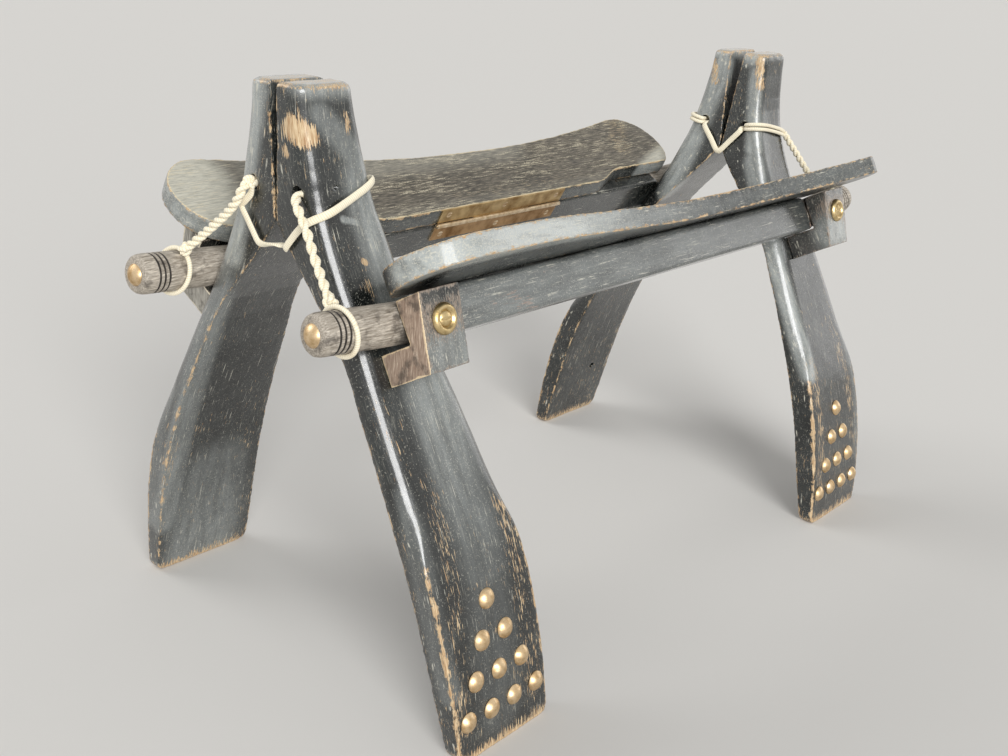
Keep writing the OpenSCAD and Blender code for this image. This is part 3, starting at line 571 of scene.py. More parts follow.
def weathered_top(name, colours):
    """Board top of the same hardwood, its paint gone and its surface greyed by sun and dust:
    matt, with fine broken grain, scratches and darker handling marks."""
    made, t = begin(name)
    place = node(t, "TexCoord", out=3)
    grain = node(t, "Attribute", out=1, attribute_name="grain")
    arris, wear, chalk_and_sheen = (node(t, "Attribute", out=2, attribute_name=kept)
                          for kept in ("arris", "wear", "chalk_and_sheen"))
    # Along the grain: lines 1.3 mm wide and 13 mm long, bands 13 mm wide and 80 mm long
    lines, broad = (node(t, "TexNoise", {
        "Vector": node(t, "Mapping", {"Vector": grain, "Scale": (1, 1, along)}),
        "Scale": scale, "Detail": 4.0, "Roughness": roughness})
        for along, scale, roughness in ((0.10, 760.0, 0.68), (0.16, 75.0, 0.62)))
    # Scratches 1.6 mm wide in two directions, specks of 1.6 mm, and stains 60 mm across
    scratch = [node(t, "TexNoise", {
        "Vector": node(t, "Mapping", {"Vector": grain, "Rotation": (0, turn, 0),
                                      "Scale": (1, 1, 0.06)}),
        "Scale": 620.0, "Detail": 2.0}) for turn in (0.8, -0.55)]
    speck = node(t, "TexNoise", {"Vector": place, "Scale": 620.0, "Detail": 3.0, "Roughness": 0.6})
    blotch = node(t, "TexNoise", {"Vector": place, "Scale": 16.0, "Detail": 4.0, "Roughness": 0.6})
    # Stained dark where hands reach, and pale in the grain where dust or painted sheen lies
    stain = node(t, "MapRange", {"Value": blotch, 1: 0.50, 2: 0.68, 4: 0.72})
    dust = node(t, "MapRange", {"Value": lines, 1: 0.36, 2: 0.62, 3: 0.55, 4: 0.92})
    dust = node(t, "Math", {0: dust, 1: chalk_and_sheen}, operation="MULTIPLY", use_clamp=True)
    # Pale scratches and grain, broken by the specks
    scuff = node(t, "Math", {0: scratch[0], 1: scratch[1]}, operation="MAXIMUM")
    scuff = node(t, "Math", {0: broad, 1: 0.45, 2: scuff}, operation="MULTIPLY_ADD")
    scuff = node(t, "MapRange", {"Value": scuff, 1: 0.820, 2: 0.915})
    lit = node(t, "MapRange", {"Value": lines, 1: 0.56, 2: 0.68})
    cracked = node(t, "MapRange", {"Value": broad, 1: 0.42, 2: 0.60})
    lit = node(t, "Math", {0: lit, 1: cracked}, operation="MULTIPLY")
    pale = node(t, "Math", {0: scuff, 1: lit}, operation="MAXIMUM")
    broken = node(t, "MapRange", {"Value": speck, 1: 0.36, 2: 0.56, 4: 0.8})
    pale = node(t, "Math", {0: pale, 1: broken}, operation="MULTIPLY")
    # Bare wood along the strokes of wear and on the arrises
    worn = node(t, "Math", {0: lines, 1: 0.9}, operation="MULTIPLY")
    worn = node(t, "Math", {0: wear, 1: 0.30, 2: worn}, operation="MULTIPLY_ADD")
    worn = node(t, "MapRange", {"Value": worn, 1: 0.62, 2: 0.74, 4: 0.6})
    edge = node(t, "Math", {0: lines, 1: -0.0050, 2: arris}, operation="MULTIPLY_ADD")
    edge = node(t, "MapRange", {"Value": edge, 1: -0.0006, 2: -0.0020})
    # Grey wood between dark grain lines, and over it all of these
    between = node(t, "MapRange", {"Value": lines, 1: 0.38, 2: 0.62})
    colour = node(t, "Mix", {0: between, 6: linear("#332f29"), 7: colours.board_top},
                  out=2, data_type="RGBA")
    for cover, layer in ((stain, "#2b2824"), (dust, "#c9c7b9"), (pale, "#cbc2aa"),
                         (worn, "#b8a480"), (edge, "#d6c6a2")):
        colour = node(t, "Mix", {0: cover, 6: colour, 7: linear(layer)}, out=2,
                      data_type="RGBA")
    rough = node(t, "MapRange", {"Value": broad, 1: 0.3, 2: 0.7, 3: 0.38, 4: 0.62})
    height = node(t, "Math", {0: lines, 1: 0.00035}, operation="MULTIPLY")
    bump = node(t, "Bump", {"Strength": 0.5, "Distance": 1.0, "Height": height})
    shader = node(t, "BsdfPrincipled", {"Base Color": colour, "Roughness": rough, "IOR": 1.45,
                                        "Normal": bump})
    node(t, "OutputMaterial", {"Surface": shader})
    return made


def handled_wood(name, dark, light, pale, along=(1, 0.09, 1), edge=None):
    """Bare sawn or turned wood, grey with handling: dry fibres along the piece, dark stains, dirt
    in the hollows, and cleaner wood on its arrises where an edge colour is given. along is the
    scale of the fibres on each axis, smallest on the one that they follow."""
    made, t = begin(name)
    place = node(t, "TexCoord", out=3)
    # Fibres 1.3 mm wide and 13 mm long, stains 14 mm across
    along_grain = node(t, "Mapping", {"Vector": place, "Scale": along})
    fibres = node(t, "TexNoise", {"Vector": along_grain, "Scale": 800.0, "Detail": 4.0,
                                  "Roughness": 0.7})
    stain = node(t, "TexNoise", {"Vector": place, "Scale": 70.0, "Detail": 4.0, "Roughness": 0.6})
    dry = node(t, "MapRange", {"Value": fibres, 1: 0.58, 2: 0.70})
    stained = node(t, "MapRange", {"Value": stain, 1: 0.53, 2: 0.66, 4: 0.7})
    covers = [(dry, pale), (stained, "#3d3731")]
    if edge:
        arris = node(t, "Attribute", out=2, attribute_name="arris")
        line = node(t, "Math", {0: stain, 1: 0.006, 2: arris}, operation="MULTIPLY_ADD")
        covers.append((node(t, "MapRange", {"Value": line, 1: 0.0048, 2: 0.0040}), edge))
    dirt = node(t, "Attribute", out=2, attribute_name="dirt")
    covers.append((node(t, "Math", {0: dirt, 1: 0.93}, operation="MULTIPLY"), "#14110e"))
    fibrous = node(t, "MapRange", {"Value": fibres, 1: 0.35, 2: 0.62})
    colour = node(t, "Mix", {0: fibrous, 6: linear(dark), 7: light}, out=2, data_type="RGBA")
    for cover, layer in covers:
        colour = node(t, "Mix", {0: cover, 6: colour, 7: linear(layer)}, out=2,
                      data_type="RGBA")
    height = node(t, "Math", {0: fibres, 1: 0.0005}, operation="MULTIPLY")
    bump = node(t, "Bump", {"Strength": 0.8, "Distance": 1.0, "Height": height})
    shader = node(t, "BsdfPrincipled", {"Base Color": colour, "Roughness": 0.6, "Normal": bump})
    node(t, "OutputMaterial", {"Surface": shader})
    return made


def old_brass(name, bright, dull, rough_low, rough_high, patches=160.0):
    """Pressed and turned yellow brass, lacquer long gone: rubbed bright where hands reach it,
    brown and olive where they don't, with fine scratches. patches is the scale of its tarnish."""
    made, t = begin(name)
    place = node(t, "TexCoord", out=3)
    # Tarnish in patches 6 mm across on nails and screws and 18 mm on the leaves
    tarnish = node(t, "TexNoise", {"Vector": place, "Scale": patches, "Detail": 4.0,
                                   "Roughness": 0.6})
    # Scratches 0.7 mm wide and 4 mm long
    turned_place = node(t, "Mapping", {"Vector": place, "Scale": (1, 0.15, 1),
                                       "Rotation": (0, 0, 0.5)})
    scratch = node(t, "TexNoise", {"Vector": turned_place, "Scale": 1500.0, "Detail": 2.0})
    dulled = node(t, "MapRange", {"Value": tarnish, 1: 0.38, 2: 0.68})
    colour = node(t, "Mix", {0: dulled, 6: bright, 7: dull}, out=2, data_type="RGBA")
    rough = node(t, "MapRange", {"Value": tarnish, 1: 0.35, 2: 0.7, 3: rough_low, 4: rough_high})
    height = node(t, "Math", {0: scratch, 1: 0.00012}, operation="MULTIPLY")
    bump = node(t, "Bump", {"Strength": 0.5, "Distance": 1.0, "Height": height})
    shader = node(t, "BsdfPrincipled", {"Base Color": colour, "Metallic": 1.0, "Roughness": rough,
                                        "Normal": bump})
    node(t, "OutputMaterial", {"Surface": shader})
    return made


def cotton_cord(name, colours, furrow=0.00016):
    """Laid cotton sash cord, lightly waxed: off-white strands, their twist showing as fine
    slanted furrows a millimetre apart, greyed a little in the hollows."""
    made, t = begin(name)
    uv = node(t, "UVMap", uv_map="UVMap")
    lay = node(t, "TexWave", {"Vector": uv, "Scale": 1.0, "Distortion": 1.2, "Detail": 2.0,
                              "Detail Scale": 1.5},
               out=1, wave_type="BANDS", bands_direction="DIAGONAL")
    # Fuzz of 1 mm, and grime in patches 17 mm long
    place = node(t, "TexCoord", out=3)
    fuzz = node(t, "TexNoise", {"Vector": place, "Scale": 900.0, "Detail": 3.0})
    grime = node(t, "TexNoise", {"Vector": place, "Scale": 60.0, "Detail": 3.0})
    raised = node(t, "MapRange", {"Value": lay, 1: 0.0, 2: 0.5})
    colour = node(t, "Mix", {0: raised, 6: linear("#e6d8b8"), 7: colours.cotton}, out=2,
                  data_type="RGBA")
    grimy = node(t, "MapRange", {"Value": grime, 1: 0.58, 2: 0.78, 4: 0.35})
    colour = node(t, "Mix", {0: grimy, 6: colour, 7: linear("#d3b88a")}, out=2,
                  data_type="RGBA")
    height = node(t, "Math", {0: fuzz, 1: 0.0003}, operation="MULTIPLY")
    height = node(t, "Math", {0: lay, 1: furrow, 2: height}, operation="MULTIPLY_ADD")
    bump = node(t, "Bump", {"Strength": 0.6, "Distance": 1.0, "Height": height})
    shader = node(t, "BsdfPrincipled", {"Base Color": colour, "Roughness": 0.7,
                                        "Sheen Weight": 0.25, "Normal": bump})
    node(t, "OutputMaterial", {"Surface": shader})
    return made


# ---- cords ----

CORD_STEP = 0.0012      # spacing of the rings of points along a cord
CORD_SIDES = 12         # points in each ring
LAY = 0.003             # length of cord for one unit of its UV map
KNOT = 0.0042           # size of a drawn overhand knot's centre line
LOOP_GAP = 0.0002       # between a peg and the loop round it
# Half width and half thickness of the flattened cords
LASHING = {"front": (0.0031, 0.0014), "rear": (0.0032, 0.0015)}
SINGLE_STRAND = (0.0021, 0.0019)
# Where each lashing passes from the right half of the stool to the left
CROSSING = {"front": ((0.010, -0.355, 0.372), (-0.012, -0.355, 0.372)),
            "rear": ((0.004, 0.286, 0.390), (-0.004, 0.286, 0.390))}


def smooth_path(points):
    """A smooth curve through the points, as points evenly spaced along it."""
    p = [Vector(q) for q in points]
    fine = []
    for i in range(len(p) - 1):
        a, b = p[max(i - 1, 0)], p[min(i + 2, len(p) - 1)]
        for k in range(12):
            t = k / 12
            fine.append(0.5 * ((2 * p[i]) + (p[i + 1] - a) * t
                               + (2 * a - 5 * p[i] + 4 * p[i + 1] - b) * t * t
                               + (3 * p[i] - a - 3 * p[i + 1] + b) * t * t * t))
    fine.append(p[-1])
    gone = np.cumsum([0] + [(fine[i + 1] - fine[i]).length for i in range(len(fine) - 1)])
    n = max(4, int(gone[-1] / CORD_STEP))
    flat = np.array([list(q) for q in fine])
    at = np.linspace(0, gone[-1], n + 1)
    return [Vector([np.interp(x, gone, flat[:, k]) for k in range(3)]) for x in at]


def along_path(path, normals=None):
    """Each point of a path, with the ways across it and out of it and the length so far. The way
    out follows the normals, or else turns with the path as little as it can."""
    out, gone = None, 0.0
    for i, p in enumerate(path):
        t = (path[min(i + 1, len(path) - 1)] - path[max(i - 1, 0)]).normalized()
        if normals is not None:
            out = normals[i]
        elif out is None:
            out = t.orthogonal()
        out = (out - out.dot(t) * t).normalized()
        gone += (p - path[i - 1]).length if i else 0
        yield p, t.cross(out), out, gone


def tube(path, wide, thin, normals=None):
    """Vertices, faces and UVs of a round or flattened cord along a path, of half width wide and
    half thickness thin. A flattened cord has its thickness along the normals."""
    n, sides = len(path), CORD_SIDES
    verts, uvs = [], []
    for p, side, out, gone in along_path(path, normals):
        for k in range(sides):
            a = 2 * math.pi * k / sides
            verts.append(p + wide * math.cos(a) * side + thin * math.sin(a) * out)
            uvs.append((gone, k / sides))
    faces = [(i * sides + k, i * sides + (k + 1) % sides, (i + 1) * sides + (k + 1) % sides,
              (i + 1) * sides + k) for i in range(n - 1) for k in range(sides)]
    faces.append(tuple(range(sides - 1, -1, -1)))
    faces.append(tuple((n - 1) * sides + k for k in range(sides)))
    return verts, faces, uvs


def cord_piece(name, tubes):
    """One piece from several tubes. Its UV map runs a unit for each LAY of cord and once round."""
    verts, faces, uvs = [], [], []
    for v, f, u in tubes:
        faces += [tuple(i + len(verts) for i in face) for face in f]
        verts += v
        uvs += u
    mesh = bpy.data.meshes.new(name)
    mesh.from_pydata([tuple(v) for v in verts], [], faces)
    layer = mesh.uv_layers.new(name="UVMap")
    for poly in mesh.polygons:
        corners = [mesh.loops[i].vertex_index for i in poly.loop_indices]
        wraps = max(uvs[c][1] for c in corners) - min(uvs[c][1] for c in corners) > 0.5
        for i, c in zip(poly.loop_indices, corners):
            u, v = uvs[c]
            layer.data[i].uv = (u / LAY, v + (1 if wraps and v < 0.5 else 0))
    obj = bpy.data.objects.new(name, mesh)
    bpy.context.scene.collection.objects.link(obj)
    only(obj)
    bpy.ops.object.mode_set(mode="EDIT")
    bpy.ops.mesh.select_all(action="SELECT")
    bpy.ops.mesh.normals_make_consistent(inside=False)
    bpy.ops.object.mode_set(mode="OBJECT")
    bpy.ops.object.shade_smooth_by_angle(angle=math.radians(50))
    return obj


def twisted(path, strand, pitch):
    """Two strands twisted round each other along a path, once for each pitch, and pressed into
    each other a little."""
    lines = ([], [])
    for p, side, out, gone in along_path(path):
        a = 2 * math.pi * gone / pitch
        away = 0.95 * strand * (math.cos(a) * out + math.sin(a) * side)
        lines[0].append(p + away)
        lines[1].append(p - away)
    return [tube(line, strand, strand) for line in lines]


def knot(at, way, strand, turn):
    """An overhand knot of cord, drawn tight, its axis along way and turned about it."""
    z = way.normalized()
    x = z.orthogonal().normalized()
    y = z.cross(x)
    x, y = math.cos(turn) * x + math.sin(turn) * y, math.cos(turn) * y - math.sin(turn) * x
    line = [at + KNOT * ((math.sin(a) + 2 * math.sin(2 * a)) / 3 * x
                         + (math.cos(a) - 2 * math.cos(2 * a)) / 3 * y
                         - 0.55 * math.sin(3 * a) * z)
            for a in (2 * math.pi * k / 72 for k in range(73))]
    return tube(line, strand, strand)


def facing(path, trees):
    """For each point of a path, the way out of the nearest leg surface, evened along the path."""
    found = []
    for p in path:
        hit = min((tree.find_nearest(p) for tree in trees), key=lambda h: h[3])
        away = p - hit[0]
        found.append(away.normalized() if away.length > MERGE else hit[1])
    return [sum(found[max(0, i - 3):i + 4], Vector()).normalized() for i in range(len(found))]


# Routes of the cords from hole to hole or down to a peg, in millimetres, and as on the right side
# where both sides have one. The rear lashing is the same on both sides of its middle
FRONT_LASHING = [
    (-22.9, -335, 420), (-22.9, -352, 420), (-23, -357.4, 418), (-26, -358.1, 411),
    (-33.6, -358.2, 404), (-37.8, -358.2, 400.8), (-36.4, -358.1, 397), (-31.8, -358, 391.4),
    (-25, -358, 383), (-19.4, -357.9, 376), (-16.4, -357.6, 374), (-11, -356.6, 373.8),
    (0, -353.8, 375.4), (8, -351.8, 375.6), (11.4, -354.8, 375), (15.4, -357.6, 376.8),
    (23, -358, 385), (30, -358.1, 392.2), (37.6, -357.8, 398.8), (44.6, -354.4, 403.4),
    (50, -348, 407), (51.6, -340, 410.2), (50, -328, 414), (48.4, -315, 418.6),
    (47, -303.6, 423), (43.6, -294.4, 426.6), (37, -290, 426.4), (30, -289.8, 424),
    (27.2, -292.6, 421.6), (26.5, -298, 420.4), (26.5, -318, 420)]
REAR_LASHING_HALF = [
    (24.2, 304, 417.8), (24.2, 294, 417.8), (24.1, 290, 417), (22.6, 288.2, 413.6),
    (12, 286.9, 401.5), (3.4, 285.6, 391.2)]
REAR_LASHING_MIDDLE = (0, 285.4, 389.4)
FRONT_STAYS = {
    "right": [
        (29, -335, 420), (29, -350, 420), (29.8, -357, 419.2), (33.2, -362, 416),
        (39, -364.4, 411.4), (45, -365, 404.2), (51.2, -366, 396.4), (61.5, -368.2, 381.4),
        (74, -371.2, 367.8), (86, -375, 357), (92.4, -376.6, 354.2)],
    "left": [
        (29, -335, 420), (29, -350, 420), (29.2, -357.4, 419.4), (29.4, -363.2, 415.2),
        (33.4, -365.8, 405.4), (43.4, -366.4, 395), (55, -368, 384.8), (67, -370, 375),
        (77.5, -372.8, 366), (86, -376, 358.8), (91.8, -378.6, 354.4)]}
# A rear stay as it runs to a loop REAR_STAY_FOR from the shoulder
REAR_STAY_FOR = 0.082
REAR_STAY = [
    (49, 344.6, 412.4), (50.2, 347, 410), (54, 350, 403), (60.5, 354.5, 393), (67, 359, 382.5),
    (73.5, 363.4, 372), (80, 367.8, 361.6), (85, 371.2, 353.6), (88, 373.2, 348.6)]
UPPER_STRAND = [
    (28.8, 312, 422.1), (28.8, 294, 422.1), (29.4, 290.4, 422.5), (32.8, 288.8, 423.4),
    (38, 289, 424.4), (43.5, 292, 425), (46.4, 299, 424.6), (47.2, 310, 423), (48, 325, 420),
    (48.6, 337, 417), (48.8, 344.8, 414)]
LOWER_STRAND = [
    (28.8, 312, 417.9), (28.8, 294, 417.9), (29.4, 290.2, 418.1), (32.8, 288.5, 418.5),
    (38, 288.7, 419.4), (43.9, 291.6, 420), (47.4, 299, 419.6), (48.4, 310, 418),
    (49.2, 325, 415), (49.8, 337, 412), (49.6, 345, 409.6)]


def metres(points, s=1):
    """Route points in millimetres, taken to side s, in metres."""
    return [Vector((s * p[0], p[1], p[2])) / 1000 for p in points]


def rear_stay(side, s):
    """Route of a rear stay, its lower end moved along the peg to its loop."""
    corner = f"{side}_rear"
    move = peg_length(corner) - LOOP_IN[corner] - REAR_STAY_FOR
    way = (on_peg(1, 1) - on_peg(0, 1)) * move
    last = len(REAR_STAY) - 1
    return [on_side(Vector(p) / 1000 + way * float(ease(k / last)), s)
            for k, p in enumerate(REAR_STAY)]


def peg_loop(corner, s, e, radius, strand):
    """A turn of cord round the peg at a corner."""
    along, lean = peg_length(corner) - LOOP_IN[corner], LOOP_LEAN[corner]
    out = radius + LOOP_GAP + strand
    ring = [on_side(on_peg(along + lean * math.sin(a), e, out, a), s)
            for a in (2 * math.pi * k / 48 for k in range(49))]
    return tube(ring, strand, strand)


def leg_trees():
    """Search trees of the four legs' surfaces, to lay cords flat on them."""
    found = []
    for side, _ in SIDES:
        for end_name, _ in ENDS:
            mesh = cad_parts[f"{side}_{end_name}_leg"].data
            found.append(BVHTree.FromPolygons([v.co for v in mesh.vertices],
                                              [tuple(p.vertices) for p in mesh.polygons]))
    return found


# ---- where the finishes are worn, as strokes of (start, end, radius, amount) in millimetres ----

# On every leg, drawn on the right front one: streaks low on the outer face and at the arrises,
# bare tops, a worn inner arris under the pommel
LEG_WEAR = [
    ((150, -328, 215), (190, -336, 125), 13, 0.62), ((192, -340, 120), (210, -342, 30), 13, 0.40),
    ((163, -264, 190), (196, -262, 105), 12, 0.66), ((199, -262, 95), (209, -258, 25), 14, 0.50),
    ((186, -300, 150), (200, -300, 100), 14, 0.20), ((120, -345, 262), (148, -338, 215), 9, 0.30),
    ((14, -350, 503), (16, -256, 503), 14, 1.4), ((30, -345, 501), (30, -262, 501), 9, 1.3),
    ((40, -357, 372), (74, -357, 318), 6, 0.35), ((150, -357, 178), (176, -355, 60), 12, 0.42)]
# Chalky grey on the feet and tops, and a painted sheen on the outer face under the cord
LEG_CHALK_AND_SHEEN = [
    ((44, -300, 425), (66, -285, 372), 26, 0.30), ((150, -357, 215), (200, -350, 60), 14, 0.30),
    ((20, -340, 502), (20, -262, 502), 22, 1.0)]
# On one leg each: patches worn to the wood on its pommel and neck
LEG_PATCHES = {
    "right_front": [
        ((22, -358, 468), (34, -352, 464), 15, 2.0), ((13, -357, 452), (15, -357, 448), 5, 1.4),
        ((34, -312, 478), (38, -312, 462), 5, 1.3), ((64, -322, 371), (78, -300, 366), 4, 1.6),
        ((73, -326, 354), (86, -322, 346), 9, 1.0), ((36, -345, 492), (36, -320, 492), 7, 0.7)],
    "right_rear": [((31, 300, 494), (36, 300, 466), 9, 1.7)],
    "left_front": [((-20, -357, 440), (-26, -357, 400), 10, 0.35)],
    "left_rear": [((-28, 300, 486), (-22, 298, 466), 8, 1.6)]}
# On one leg each: painted highlight and sheen down the round-over and on the narrow faces,
# with some real rubbed grey, and dust on the feet
LEG_SCUFFS_AND_SHEEN = {
    "right_front": [
        ((46, -298, 428), (74, -290, 352), 36, (0.6, 1.1)),
        ((38, -338, 480), (40, -310, 449), 16, 0.45),
        ((74, -290, 352), (120, -296, 270), 36, (1.1, 0.7)),
        ((120, -296, 270), (180, -298, 150), 36, (0.7, 0.25)),
        ((190, -300, 130), (208, -300, 30), 34, 0.15), ((50, -330, 402), (52, -314, 397), 4, 0.8)],
    "right_rear": [
        ((30, 292, 480), (44, 290, 400), 16, 0.9), ((48, 285, 384), (98, 267, 290), 18, 0.8),
        ((98, 267, 290), (168, 258, 170), 16, (1.0, 0.9))],
    "left_front": [
        ((-24, -357, 490), (-60, -357, 360), 24, 1.15),
        ((-60, -357, 360), (-190, -345, 60), 20, 0.5),
        ((-168, -300, 95), (-205, -300, 0), 60, (0.3, 0.6))],
    "left_rear": [((-14, 298, 485), (-56, 277, 332), 20, 0.9)]}
# Drawn on the right side of the stool, and on its front for the blocks
RAIL_WEAR = [((124, -212, 336), (122, -188, 322), 13, 0.95),
             ((124, -240, 340), (124, -225, 340), 9, 0.8)]
RAIL_CHALK = [((118, -260, 335), (118, 60, 335), 36, (0.5, 0.3)),
              ((118, 60, 335), (118, 280, 335), 36, (0.3, 0.08))]
BLOCK_WEAR = [((140, -302, 345), (140, -330, 341), 25, 1.3)]
# Painted light on the blocks' outer faces, which face the lamps, with chalky grey
BLOCK_CHALK_AND_LIGHT = {"front": [((152, -300, 325), (146, -332, 312), 34, 0.55)],
               "rear": [((152, -300, 325), (146, -332, 312), 34, 0.8)]}
BOARD_WEAR = {
    "right": [((144, -352, 388), (158, -346, 392), 9, 0.35),
              ((160, 300, 392), (176, 345, 398), 10, 0.5)],
    "left": [((-110, 250, 385), (-150, 290, 405), 26, 0.6),
             ((-82, -60, 362), (-82, 120, 362), 12, 0.4),
             ((-110, -120, 372), (-110, 120, 374), 30, 0.25)]}
# Painted sheen on the right board's front edge and the left board's near front, with dust
BOARD_CHALK_AND_SHEEN = {
    "right": [((140, -352, 385), (168, -328, 396), 26, (1.1, 1.7)),
              ((168, -328, 396), (160, -190, 392), 26, (1.7, 1.5)),
              ((160, -190, 392), (150, -60, 388), 26, (1.5, 0.4)),
              ((150, -60, 388), (170, 330, 398), 26, (0.4, 0.25))],
    "left": [((-150, -325, 400), (-110, -340, 380), 52, 1.0),
             ((-80, -300, 350), (-80, 250, 350), 14, 0.2),
             ((-150, -250, 400), (-150, 60, 398), 50, 0.30),
             ((-86, 262, 352), (-100, 330, 366), 18, 1.0)]}


# ---- shapes made by hand on one piece or another ----

# How much slimmer the top of each pommel is than the leg below its neck, and where the neck is
POMMEL_SLIM = {"right_front": 0.007, "right_rear": 0.0, "left_front": 0.008, "left_rear": 0.005}
NECK = 0.425
# Three rings cut in each peg: how far in from its tip they start, how far apart they are, and
# one of them as (depth, distance along the peg)
RINGS_IN, RING_STEP, RINGS = 0.0235, 0.0046, 3
RING = ((0, 0), (0.0006, 0.0002), (0.0016, 0.0008), (0.0016, 0.0014), (0.0006, 0.0020),
        (0, 0.0022))
# The rounded end of a peg as (depth, distance from its tip), and the flat where its nail sits
PEG_END = ((0, 0.0085), (0.0002, 0.005), (0.0009, 0.0022), (0.0022, 0.0006), (0.0038, 0))
NAIL_SEAT = 0.006
# Height of the right board's outer edge above true, at places along the stool, in millimetres
BOARD_BOW = ((-350, -281, -211, -177, -74, 14, 278, 350),
             (3.5, 4.6, 6.0, 5.7, 2.3, -1.8, -2.2, -2.2))
# How far from the middle a board's edge is faired, where that starts to fade, and the spacing
# of the places where the edge is measured
FAIR_TO, FADE, PLACE_STEP = 0.332, 0.03, 0.002


def slim_pommel(obj, slim):
    """Draws the outer face of a pommel in towards its top."""
    co = coordinates(obj.data)
    up = ease((co[:, 2] - NECK) / (LEG_HEIGHTS[-1] - NECK))
    co[:, 0] *= 1 - slim * up / LEG_OUT[-1]
    move_points(obj.data, co)


def bar_only(obj):
    """Cuts the pegs off a rail's bar and closes its ends."""
    bpy.ops.object.mode_set(mode="EDIT")
    for e in (-1, 1):
        bpy.ops.mesh.select_all(action="SELECT")
        bpy.ops.mesh.bisect(plane_co=(0, e * (SHOULDER - MERGE), 0), plane_no=(0, e, 0),
                            use_fill=True, clear_outer=True)
    bpy.ops.object.mode_set(mode="OBJECT")


def peg_outline(r, length):
    """Radius and height along a peg of radius r, from inside its rail to its tip."""
    start = length - RINGS_IN
    line = [(0, -0.010), (r * 0.9, -0.010), (r * 0.985, 0), (r, 0.03), (r, start)]
    for k in range(RINGS):
        line += [(r - depth, start + RING_STEP * k + along) for depth, along in RING]
    line += [(r - depth, length - back) for depth, back in PEG_END]
    return line + [(NAIL_SEAT, length), (0, length)]


def in_rings(co, r, length):
    """Which points of a peg lie in its rings, where dirt has settled."""
    start = length - RINGS_IN
    return ((np.hypot(co[:, 0], co[:, 1]) < r - 0.0004) & (co[:, 2] > start - 0.001)
            & (co[:, 2] < start + RINGS * RING_STEP))


def faired(values, reach):
    """Evenly spaced values along a line, smoothed over about reach of them to each side."""
    blade = np.exp(-0.5 * (np.arange(-3 * reach, 3 * reach + 1) / reach) ** 2)
    return np.convolve(np.pad(values, 3 * reach, mode="edge"), blade / blade.sum(), mode="valid")


def shape_board(obj, s):
    """Fairs a board's outer edge, and on the right board bows it up and down a little."""
    co = coordinates(obj.data)
    rel = co * (s, 1, 1) - np.array(RAIL_AT)
    n, y = rel @ np.array(RAIL_N), co[:, 1]
    reach = FAIR_TO + 2 * PLACE_STEP
    places = np.arange(max(y.min(), -reach) + PLACE_STEP, min(y.max(), reach) - PLACE_STEP,
                       PLACE_STEP)
    sawn = np.array([n[np.abs(y - at) < PLACE_STEP].max() for at in places])
    faded = ease((FAIR_TO - np.abs(places)) / FADE)
    change = np.interp(y, places, (faired(sawn, 5) - sawn) * faded)
    # The outer 4 mm of the board follow the faired edge in full, and the next 26 mm in part
    near_edge = ease((n - np.interp(y, places, sawn) + 0.030) / 0.026)
    co += (change * near_edge)[:, None] * np.array(on_side(RAIL_N, s))
    if s > 0:
        # The bow starts 26 mm out from the leg's face and is full at 86 mm
        bow = faired(np.interp(places * 1000, *BOARD_BOW) / 1000, 10)
        lift = np.interp(y, places, bow) * ease((n - 0.026) / 0.060)
        co += lift[:, None] * np.array(RAIL_U)
    move_points(obj.data, co)


# ---- operators, one for each group of pieces ----


class StoolLegs(bpy.types.Operator):
    """Four S-curved legs, their outer corners rounded over and running out above the feet"""

    bl_idname = "stool.legs"
    bl_label = "Legs"

    def execute(self, context):
        sizes, colours = context.scene.stool_sizes, context.scene.stool_colours
        paint = black_paint("Brushed black paint on the legs", colours)
        for side, s in SIDES:
            for end_name, e in ENDS:
                corner = f"{side}_{end_name}"
                leg = worn_copy(f"{corner}_leg", f"{corner}_leg_painted", sizes.leg_skin,
                                grain_of_leg, sizes.hand_wave, sizes.nick,
                                more_arrises=foot_arris)
                slim_pommel(leg, POMMEL_SLIM[corner])
                mark(leg, mirrored(LEG_WEAR, s, e) + LEG_PATCHES[corner],
                     mirrored(LEG_CHALK_AND_SHEEN, s, e) + LEG_SCUFFS_AND_SHEEN[corner])
                dress(leg, paint, f"{side}_side")
        return {"FINISHED"}


class StoolRails(bpy.types.Operator):
    """Two rails with a turned peg at each end"""

    bl_idname = "stool.rails"
    bl_label = "Rails and Pegs"

    def execute(self, context):
        sizes, colours = context.scene.stool_sizes, context.scene.stool_colours
        paint = black_paint("Scuffed black paint on the rails", colours, dust=0.5, streaks=0.5,
                            film="#262b2b", under="#8a6a58", wood_colour=linear("#c4a999"),
                            arris_wear=2.0)
        wood = handled_wood("Handled wood of the pegs", "#7d7467", colours.peg_wood, "#ded4c2")
        for side, s in SIDES:
            bar = worn_copy(f"{side}_rail", f"{side}_rail_bar", sizes.rail_skin, grain_of_rail,
                            sizes.hand_wave * 0.6, sizes.nick * 0.7, trim=bar_only)
            mark(bar, mirrored(RAIL_WEAR, s), mirrored(RAIL_CHALK, s))
            dress(bar, paint, f"{side}_side")
            pegs = []
            for end_name, e in ENDS:
                length = peg_length(f"{side}_{end_name}")
                peg = turned(f"{side}_{end_name}_peg", peg_outline(sizes.peg_radius, length))
                keep(peg, "dirt", in_rings(coordinates(peg.data), sizes.peg_radius, length))
                foot, tip = on_side(on_peg(0, e), s), on_side(on_peg(length, e), s)
                placed(peg, foot, tip - foot)
                pegs.append(peg)
            both = joined(pegs, f"{side}_turned_pegs")
            apply_modifier(both, "SUBSURF", levels=1, render_levels=1, subdivision_type="SIMPLE")
            apply_modifier(both, "DISPLACE", texture=cloud("peg waves", 0.02), strength=0.0008,
                           mid_level=0.5, texture_coords="LOCAL")
            only(both)
            bpy.ops.object.shade_smooth_by_angle(angle=math.radians(40))
            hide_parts(f"{side}_rail")
            dress(both, wood, f"{side}_side")
        return {"FINISHED"}


